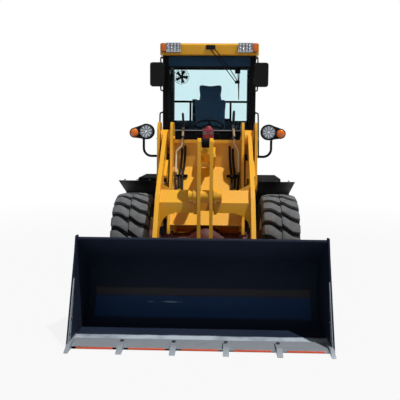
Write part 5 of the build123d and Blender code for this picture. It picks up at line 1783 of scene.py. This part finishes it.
    def wipers(self) -> None:
        """The twin-arm front wiper and the short rear one."""
        at, header = self.places, self.header
        front, back, top, start = at.cab_front, at.cab_rear - 0.012, at.top, at.roof_front - 0.016
        cover = ((-0.045, start - 0.004, top - 0.082), (0.075, at.roof_front + 0.002, top - 0.026))
        parts = [Bench.block("motor_cover", *cover, 0.008, 3)]
        for x0, x1 in ((-0.010, 0.338), (0.046, 0.372)):
            route = (
                (x0, start, top - 0.055), (x0 + 0.040, start - 0.006, top - 0.100),
                (x0 + 0.200, front - 0.040, top - 0.290), (x1, front - 0.004, top - 0.480),
            )
            parts.append(Bench.pipe("arm", route, 0.0055, 3, 6))
        motor = ((0.360, back + 0.010, header + 0.050), (0.440, back + 0.040, header + 0.120))
        parts += [
            Bench.block("clip", (0.330, front - 0.008, top - 0.500), (0.392, front + 0.006, top - 0.462), 0.003),
            Bench.block("blade", (0.376, front + 0.002, top - 0.680), (0.388, front + 0.018, top - 0.330), 0.002),
            Bench.bar("rear_arm", (0.400, back + 0.014, header + 0.085), (0.420, back + 0.004, 2.300), 0.005),
            Bench.block("rear_blade", (0.412, back - 0.007, 2.260), (0.424, back + 0.006, 2.620), 0.002),
            Bench.block("rear_motor", *motor, 0.008, 3),
        ]
        for piece in parts:
            self.part(piece, "black plastic")
        self.keep(Bench.join("wipers", parts), "rear", "black_plastic")

    def trim(self) -> None:
        """Header band, screen seals, bright sill line, rails and door handles."""
        face, header, sill = self.places.cab_front, self.header, self.sill
        under = self.places.top - 0.156
        band = Bench.block("band", (-0.524, face - 0.005, header + 0.006), (0.524, face + 0.001, under), 0.002)
        line = Bench.block("sill", (-0.520, face - 0.006, sill + 0.002), (0.520, face + 0.020, sill + 0.014), 0.003)
        parts = [self.part(band, "tinted band"), self.part(line, "worn steel")]
        for x0, x1, z0, z1 in (
            (-0.526, 0.526, header - 0.012, header + 0.001),
            (-0.526, 0.526, sill + 0.014, sill + 0.026),
            (-0.527, -0.513, sill + 0.02, header - 0.006),
            (0.513, 0.527, sill + 0.02, header - 0.006),
        ):
            seal = Bench.block("seal", (x0, face + 0.006, z0), (x1, face + 0.019, z1), 0.003)
            parts.append(self.part(seal, "hose rubber"))
        self.keep(Bench.join("screen_trim", parts), "rear", "black_plastic")
        rail = Bench.pipe(
            "rail",
            (
                (0.598, face + 0.045, 1.440), (0.650, face + 0.040, 1.440), (0.652, face + 0.040, 1.480),
                (0.640, face + 0.040, 1.970), (0.638, face + 0.040, 2.020), (0.598, face + 0.045, 2.020),
            ),
            0.0095,
        )
        feet = [Bench.bar("foot", (0.598, face + 0.045, z), (0.606, face + 0.045, z), 0.020) for z in (1.440, 2.020)]
        self.both("grab_rail", [self.part(piece, "black paint") for piece in (rail, *feet)], "rear", "frame_black")
        for side in Side:
            sign = side.value
            x, y = sign * (self.half - 0.002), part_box(f"cab_door_{side.label}")[0][1] + 0.060
            grip = Bench.pipe(
                "grip",
                (
                    (x, y, 1.560), (x + sign * 0.030, y, 1.565), (x + sign * 0.034, y, 1.500),
                    (x + sign * 0.030, y, 1.435), (x, y, 1.440),
                ),
                0.009,
            )
            plate = Bench.block("plate", *corners((x, y - 0.022, 1.415), (x + sign * 0.005, y + 0.022, 1.585)), 0.002)
            parts = [self.part(grip, "black plastic"), self.part(plate, "black plastic")]
            self.keep(Bench.join(f"door_handle_{side.label}", parts), f"cab_door_{side.label}", "black_plastic")

    def build(self) -> None:
        """Fit out the cab."""
        self.shell()
        self.lining()
        self.controls()
        self.fan()
        self.wipers()
        self.trim()


@dataclass
class Upholstery(Fittings):
    """The driver's seat: sewn pads with stuffing, and its suspension box."""

    voxel: float = 0.0075
    start_gap: float = 0.016
    limit: float = 0.018
    pressure: float = 4.0
    quality: int = 5
    frames: int = 15
    channel_depth: float = 0.007
    channel_breadth: float = 0.006
    channel_limit: float = 0.008
    fill: float = 0.6
    cab_floor: float = 1.211
    folds: int = 4
    fold_pitch: float = 0.068

    def stuffed(
        self, name: str, low: Point, high: Point, corner: float, channels: Sequence[tuple[str, float]]
    ) -> bpy.types.Object:
        """A cushion blown up from a smaller rounded block, with sewn channels.

        Args:
            name: Its name.
            low: Lowest corner that it may reach.
            high: Highest corner that it may reach.
            corner: Radius of the starting block's edges.
            channels: Axis letter and place of each sewn channel.

        Returns:
            The finished pad.
        """
        gap = self.start_gap
        piece = Bench.block(name, [v + gap for v in low], [v - gap for v in high], corner, 4)
        remesh = piece.modifiers.new("remesh", "REMESH")
        remesh.mode = "VOXEL"
        remesh.voxel_size = self.voxel
        bpy.ops.object.modifier_apply(modifier=remesh.name)
        rest = [v.co.copy() for v in piece.data.vertices]
        cloth = piece.modifiers.new("stuffing", "CLOTH")
        cloth.settings.use_pressure = True
        cloth.settings.uniform_pressure_force = self.pressure
        cloth.settings.effector_weights.gravity = 0.0
        cloth.settings.quality = self.quality
        for frame_number in range(1, self.frames + 1):
            bpy.context.scene.frame_set(frame_number)
        blown = piece.evaluated_get(bpy.context.evaluated_depsgraph_get()).data
        moved = [v.co.copy() for v in blown.vertices]
        piece.modifiers.remove(cloth)
        bpy.context.scene.frame_set(1)
        for vertex, start, end in zip(piece.data.vertices, rest, moved):
            step = end - start
            if step.length > self.limit:
                step = step.normalized() * self.limit
            vertex.co = start + step
        middle = [(a + b) / 2 for a, b in zip(low, high)]
        thin = min(range(3), key=lambda axis: high[axis] - low[axis])
        for vertex in piece.data.vertices:
            pull = 0.0
            for letter, place in channels:
                away = (vertex.co["xyz".index(letter)] - place) / self.channel_breadth
                pull += self.channel_depth * math.exp(-(away**2))
            if pull:
                inward = Vector(middle) - vertex.co
                vertex.co[thin] += math.copysign(min(pull, self.channel_limit), inward[thin])
            for axis in range(3):
                vertex.co[axis] = min(max(vertex.co[axis], low[axis]), high[axis])
        smooth = piece.modifiers.new("smooth", "SUBSURF")
        smooth.levels = smooth.render_levels = 1
        Bench.pick(piece)
        bpy.ops.object.modifier_apply(modifier=smooth.name)
        self.part(piece, "seat cloth")
        return Bench.settle(piece, name, 60.0)

    def build(self) -> None:
        """Make the seat."""
        y, top = self.places.cab_front, self.places.top
        pads = (
            (
                "seat_cushion",
                (-0.250, y + 0.560, 1.522),
                (0.250, y + 1.000, 1.660),
                0.040,
                (("x", -0.095), ("x", 0.095), ("y", y + 0.720)),
            ),
            (
                "seat_back",
                (-0.250, y + 1.002, 1.560),
                (0.250, y + 1.120, 2.270),
                0.036,
                (("x", -0.110), ("x", 0.110), ("z", 1.960)),
            ),
            ("head_rest", (-0.186, y + 1.012, 2.150), (0.186, y + 1.118, top - 0.408), 0.034, (("z", 2.370),)),
        )
        for index, (name, low, high, corner, channels) in enumerate(pads):
            pad = self.stuffed(name, low, high, corner, channels)
            self.keep(pad, "rear", "seat_cloth", ("seat",) if index == 0 else ())
        parts = [Bench.block("pan", (-0.235, y + 0.590, 1.505), (0.235, y + 1.040, 1.524), 0.006)]
        for index in range(self.folds):
            half, low_z = 0.170 - 0.012 * (index % 2), 1.225 + index * self.fold_pitch
            parts.append(Bench.block("fold", (-half, y + 0.665, low_z), (half, y + 0.975, low_z + 0.066), 0.020, 3))
        for x in (-0.045, 0.045):
            parts.append(Bench.bar("post", (x, y + 1.062, 2.240), (x, y + 1.062, 2.300), 0.008))
        parts.append(Bench.block("slide", (-0.180, y + 0.655, self.cab_floor), (0.180, y + 0.985, 1.226), 0.004))
        for piece in parts:
            self.part(piece, "black plastic")
        self.keep(Bench.join("seat_frame", parts), "rear", "black_plastic")


@dataclass
class RearFittings(Fittings):
    """Louvres, handles, caps, mesh, treads and bolts on the rear of the machine."""

    skin: float = 0.500
    louvre_count: int = 7
    louvre_foot: float = 1.290
    louvre_pitch: float = 0.046
    louvre_length: float = 0.330
    grip_height: float = 1.300
    stack_x: float = 0.260
    cap_x: float = 0.760
    treads: int = 3
    tread_pitch: float = 0.110
    mesh_columns: int = 27
    mesh_rows: int = 13
    wire: float = 0.0016

    def louvres(self) -> None:
        """Pressed louvres and a handle on each engine door."""
        for side in Side:
            sign, door = side.value, f"engine_door_{side.label}"
            low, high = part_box(door)
            skin, first = sign * self.skin, low[1] + 0.140
            parts = []
            for index in range(self.louvre_count):
                z = self.louvre_foot + index * self.louvre_pitch
                fin = Bench.plate(
                    "fin",
                    [
                        (skin, first, z), (skin + sign * 0.014, first, z + 0.008),
                        (skin + sign * 0.014, first, z + 0.012), (skin, first, z + 0.030),
                    ],
                    (0, self.louvre_length, 0),
                    0.0015,
                )
                parts.append(self.part(fin, "yellow paint"))
            y, z, out = high[1] - 0.130, self.grip_height, skin + sign * 0.026
            route = ((skin, y - 0.06, z), (out, y - 0.055, z), (out, y + 0.055, z), (skin, y + 0.06, z))
            grip = Bench.pipe("grip", route, 0.007)
            latch = Bench.bar("latch", (skin, y - 0.100, z), (skin + sign * 0.008, y - 0.100, z), 0.018, 0.002)
            parts.extend((self.part(grip, "black plastic"), self.part(latch, "pin steel")))
            self.keep(Bench.join(f"engine_louvres_{side.label}", parts), door, "body_yellow")

    def caps(self) -> None:
        """Exhaust rain cap, intake bowl and filler caps."""
        low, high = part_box("stacks")
        middle = (low[1] + high[1]) / 2
        parts = []
        x, lid = -self.stack_x, high[2]
        flap = Bench.bar("flap", (x, middle, lid - 0.004), (x, middle, lid - 0.0005), 0.037, 0.001, 32)
        parts.append(self.part(flap, "pin steel"))
        rings = [(self.stack_x, 0.0555, z) for z in (1.860, 1.900, 1.940)]
        rings += [(-self.stack_x, 0.0385, z) for z in (1.900, 2.060, 2.220)]
        for x, radius, z in rings:
            Bench.clear()
            bpy.ops.mesh.primitive_torus_add(
                major_radius=radius, minor_radius=0.0035, major_segments=48, minor_segments=8, location=(x, middle, z)
            )
            parts.append(self.part(Bench.settle(bpy.context.object, "band"), "pin steel"))
        self.keep(Bench.join("stack_fittings", parts), "rear", "frame_black")
        low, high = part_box("side_tanks")
        y = (low[1] + high[1]) / 2
        filler = []
        for x in (self.cap_x, -self.cap_x):
            rise = ((0.040, 0.0), (0.042, 0.014), (0.036, 0.024), (0.020, 0.027), (0.0, 0.027))
            points = [(x + r, y, high[2] - 0.002 + h) for r, h in rise]
            cap = Bench.turned("cap", points, (x, y, high[2]), (0, 0, 1), 32)
            filler.append(self.part(cap, "black plastic"))
        self.keep(Bench.join("filler_caps", filler), "rear", "black_plastic")
        ridges, z = [], high[2] - 0.004
        for side in Side:
            outer, inner = side.value * (high[0] - 0.012), side.value * (high[0] - 0.130)
            for index in range(self.treads):
                y = low[1] + 0.060 + index * self.tread_pitch
                ridge = Bench.block("tread", *corners((outer, y, z), (inner, y + 0.020, z + 0.012)), 0.002)
                ridges.append(self.part(ridge, "worn steel"))
        self.keep(Bench.join("step_treads", ridges), "rear", "frame_black")

    def mesh(self) -> None:
        """Wire mesh behind the grille's slats and bolts on the counterweight."""
        low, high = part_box("grille")
        y, parts = low[1] + 0.004, []
        ends = []
        for index in range(self.mesh_columns):
            x = low[0] + 0.030 + index * (high[0] - low[0] - 0.060) / (self.mesh_columns - 1)
            ends.append(((x, y, low[2] + 0.020), (x, y, high[2] - 0.020)))
        for index in range(self.mesh_rows):
            z = low[2] + 0.030 + index * (high[2] - low[2] - 0.060) / (self.mesh_rows - 1)
            ends.append(((low[0] + 0.020, y, z), (high[0] - 0.020, y, z)))
        for start, end in ends:
            parts.append(self.part(Bench.bar("wire", start, end, self.wire, 0.0, 6), "black paint"))
        self.keep(Bench.join("grille_mesh", parts), "rear", "frame_black")
        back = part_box("counterweight")[1][1] - 0.003
        heads = self.hexes([(x, back, z) for x in (-0.500, 0.500) for z in (0.640, 1.120)], (0, 1, 0), 0.024, 0.001)
        self.keep(Bench.join("counterweight_bolts", heads), "rear", "bare_steel")

    def build(self) -> None:
        """Dress the rear."""
        self.louvres()
        self.caps()
        self.mesh()


@dataclass
class FrameBolts(Fittings):
    """Keeper plates and grease points at the boom's pins, and the front fenders' bolts."""

    tower_face: float = 0.575
    pivot: tuple = (0.400, 1.680)
    keeper_thick: float = 0.008
    fender_bolts: tuple = (0.640, 0.780, 0.920)
    fender_top: float = 1.2145

    def build(self) -> None:
        """Fit them on both sides."""
        axle = self.places.front_axle
        y, z = axle + self.pivot[0], self.pivot[1]
        face, thick = self.tower_face, self.keeper_thick
        shape = ((-0.030, -0.055), (0.030, -0.055), (0.034, 0.0), (0.022, 0.036), (-0.022, 0.036), (-0.034, 0.0))
        plate = Bench.plate("keeper", [(face, y + a, z + b) for a, b in shape], (thick, 0, 0), 0.002)
        screws = [(face + thick, y + a, z - 0.038) for a in (-0.016, 0.016)]
        parts = [self.part(plate, "yellow paint"), *self.hexes(screws, (1, 0, 0), 0.010, 0.007)]
        nipple = Bench.turned(
            "nipple",
            [
                (face + thick + h, y, z + r)
                for h, r in (
                    (0.0, 0.008), (0.006, 0.008), (0.008, 0.004), (0.015, 0.0035), (0.018, 0.0045), (0.021, 0.0)
                )
            ],
            (face, y, z),
            (1, 0, 0),
            20,
        )
        parts.append(self.part(nipple, "pin steel"))
        self.both("boom_pin_keeper", parts, "front", "body_yellow")
        spots = [(x, axle + 0.072, self.fender_top) for x in self.fender_bolts]
        heads = self.hexes(spots, (0, 0, 1), 0.010, 0.007)
        self.both("fender_bolt", heads, "front", "bare_steel")


# ---------------------------------------------------------------- studio


@dataclass
class Studio:
    """Camera, floor and lamps."""

    eye: tuple = (0.142, -7.347, 1.694)
    yaw: float = 1.848
    pitch: float = 6.031
    roll: float = 0.461
    lens: float = 53.07
    sensor: float = 36.0
    far: float = 200.0
    floor_size: float = 160.0
    floor_place: tuple = (0, 20, -0.0005)
    sun_distance: float = 10.0
    floor_tone: float = 0.42
    fade: tuple = (3.5, 9.0)
    near_white: float = 0.88
    sky_colour: tuple = (0.93, 0.96, 1.0, 1.0)
    sky_power: float = 0.22

    SUNS = (
        # name, power, breadth in degrees, where it stands
        ("key", 3.4, 1.2, (0.36, -0.18, 1.0)),
        ("fill", 0.22, 60.0, (-0.20, -1.0, 0.35)),
    )

    def camera(self) -> None:
        """Place the camera."""
        Bench.clear()
        bpy.ops.object.camera_add(location=self.eye)
        camera = bpy.context.object
        camera.name = "camera"
        turn = Matrix.Rotation(math.radians(self.yaw), 4, "Z") @ Matrix.Rotation(math.radians(90 - self.pitch), 4, "X")
        camera.rotation_euler = (turn @ Matrix.Rotation(math.radians(self.roll), 4, "Z")).to_euler()
        camera.data.lens = self.lens
        camera.data.sensor_width = self.sensor
        camera.data.clip_end = self.far
        bpy.context.scene.camera = camera

    def floor(self) -> None:
        """A wide pale floor that the camera sees as nearly white, with a soft shadow."""
        Bench.clear()
        bpy.ops.mesh.primitive_grid_add(
            x_subdivisions=8, y_subdivisions=8, size=self.floor_size, location=self.floor_place
        )
        floor = bpy.context.object
        floor.name = "floor"
        bpy.ops.object.transform_apply(location=True, rotation=True, scale=True)
        made = bpy.data.materials.new("pale floor")
        made.use_nodes = True
        tree = made.node_tree
        shader = tree.nodes["Principled BSDF"]
        shader.inputs["Base Color"].default_value = (*[self.floor_tone] * 3, 1.0)
        shader.inputs["Roughness"].default_value = 0.9
        glow = tree.nodes.new("ShaderNodeEmission")
        path = tree.nodes.new("ShaderNodeLightPath")
        seen = add_node(tree, "ShaderNodeMath", operation="MAXIMUM")
        clear = add_node(tree, "ShaderNodeMath", operation="MAXIMUM")
        place = tree.nodes.new("ShaderNodeTexCoord")
        reach = add_node(tree, "ShaderNodeVectorMath", operation="LENGTH")
        fade = add_node(
            tree,
            "ShaderNodeMapRange",
            {"From Min": self.fade[0], "From Max": self.fade[1], "To Min": self.near_white, "To Max": 1.0},
        )
        part = add_node(tree, "ShaderNodeMath", operation="MULTIPLY")
        mix = tree.nodes.new("ShaderNodeMixShader")
        wire(
            tree,
            (path, "Is Camera Ray", seen, 0),
            (path, "Is Glossy Ray", seen, 1),
            (seen, "Value", clear, 0),
            (path, "Is Transmission Ray", clear, 1),
            (place, "Object", reach, 0),
            (reach, "Value", fade, "Value"),
            (clear, "Value", part, 0),
            (fade, "Result", part, 1),
            (part, "Value", mix, "Fac"),
            (shader, "BSDF", mix, 1),
            (glow, "Emission", mix, 2),
            (mix, "Shader", tree.nodes["Material Output"], "Surface"),
        )
        floor.data.materials.append(made)

    def lights(self) -> None:
        """A high sun from the right, a faint broad fill from the front and an even sky."""
        world = bpy.data.worlds.new("sky")
        bpy.context.scene.world = world
        world.use_nodes = True
        tree = world.node_tree
        ground = tree.nodes["Background"]
        ground.inputs["Color"].default_value = self.sky_colour
        ground.inputs["Strength"].default_value = self.sky_power
        white = add_node(tree, "ShaderNodeBackground", {"Color": (1.0, 1.0, 1.0, 1.0)})
        path = tree.nodes.new("ShaderNodeLightPath")
        seen = add_node(tree, "ShaderNodeMath", operation="MAXIMUM")
        mix = tree.nodes.new("ShaderNodeMixShader")
        wire(
            tree,
            (path, "Is Camera Ray", seen, 0),
            (path, "Is Transmission Ray", seen, 1),
            (seen, "Value", mix, "Fac"),
            (ground, "Background", mix, 1),
            (white, "Background", mix, 2),
            (mix, "Shader", tree.nodes["World Output"], "Surface"),
        )
        for name, power, spread, place in self.SUNS:
            Bench.clear()
            bpy.ops.object.light_add(type="SUN", location=Vector(place) * self.sun_distance)
            lamp = bpy.context.object
            lamp.name = name
            lamp.data.energy = power
            lamp.data.angle = math.radians(spread)
            lamp.rotation_euler = Vector(place).to_track_quat("Z", "Y").to_euler()

    def build(self) -> None:
        """Set up the studio."""
        bpy.context.scene.view_settings.view_transform = "Standard"
        self.camera()
        self.floor()
        self.lights()


def main() -> None:
    """Load the frame, dress the loader and set up the studio."""
    logging.basicConfig(level=logging.INFO, format="%(message)s")
    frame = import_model()
    shop = PaintShop()
    places = Places.read()
    shop.add(bucket_finish(places.lip))
    crew = [kind(shop, frame) for kind in (Steelwork, Wheels)]
    crew += [
        kind(shop, frame, places=places)
        for kind in (BucketTrim, FrontFittings, Lamps, CabFittings, Upholstery, RearFittings, FrameBolts)
    ]
    for assembly in crew:
        assembly.build()
        LOG.info("%s: %s", type(assembly).__name__, ", ".join(assembly.made))
    Studio().build()


if __name__ == "__main__":
    main()
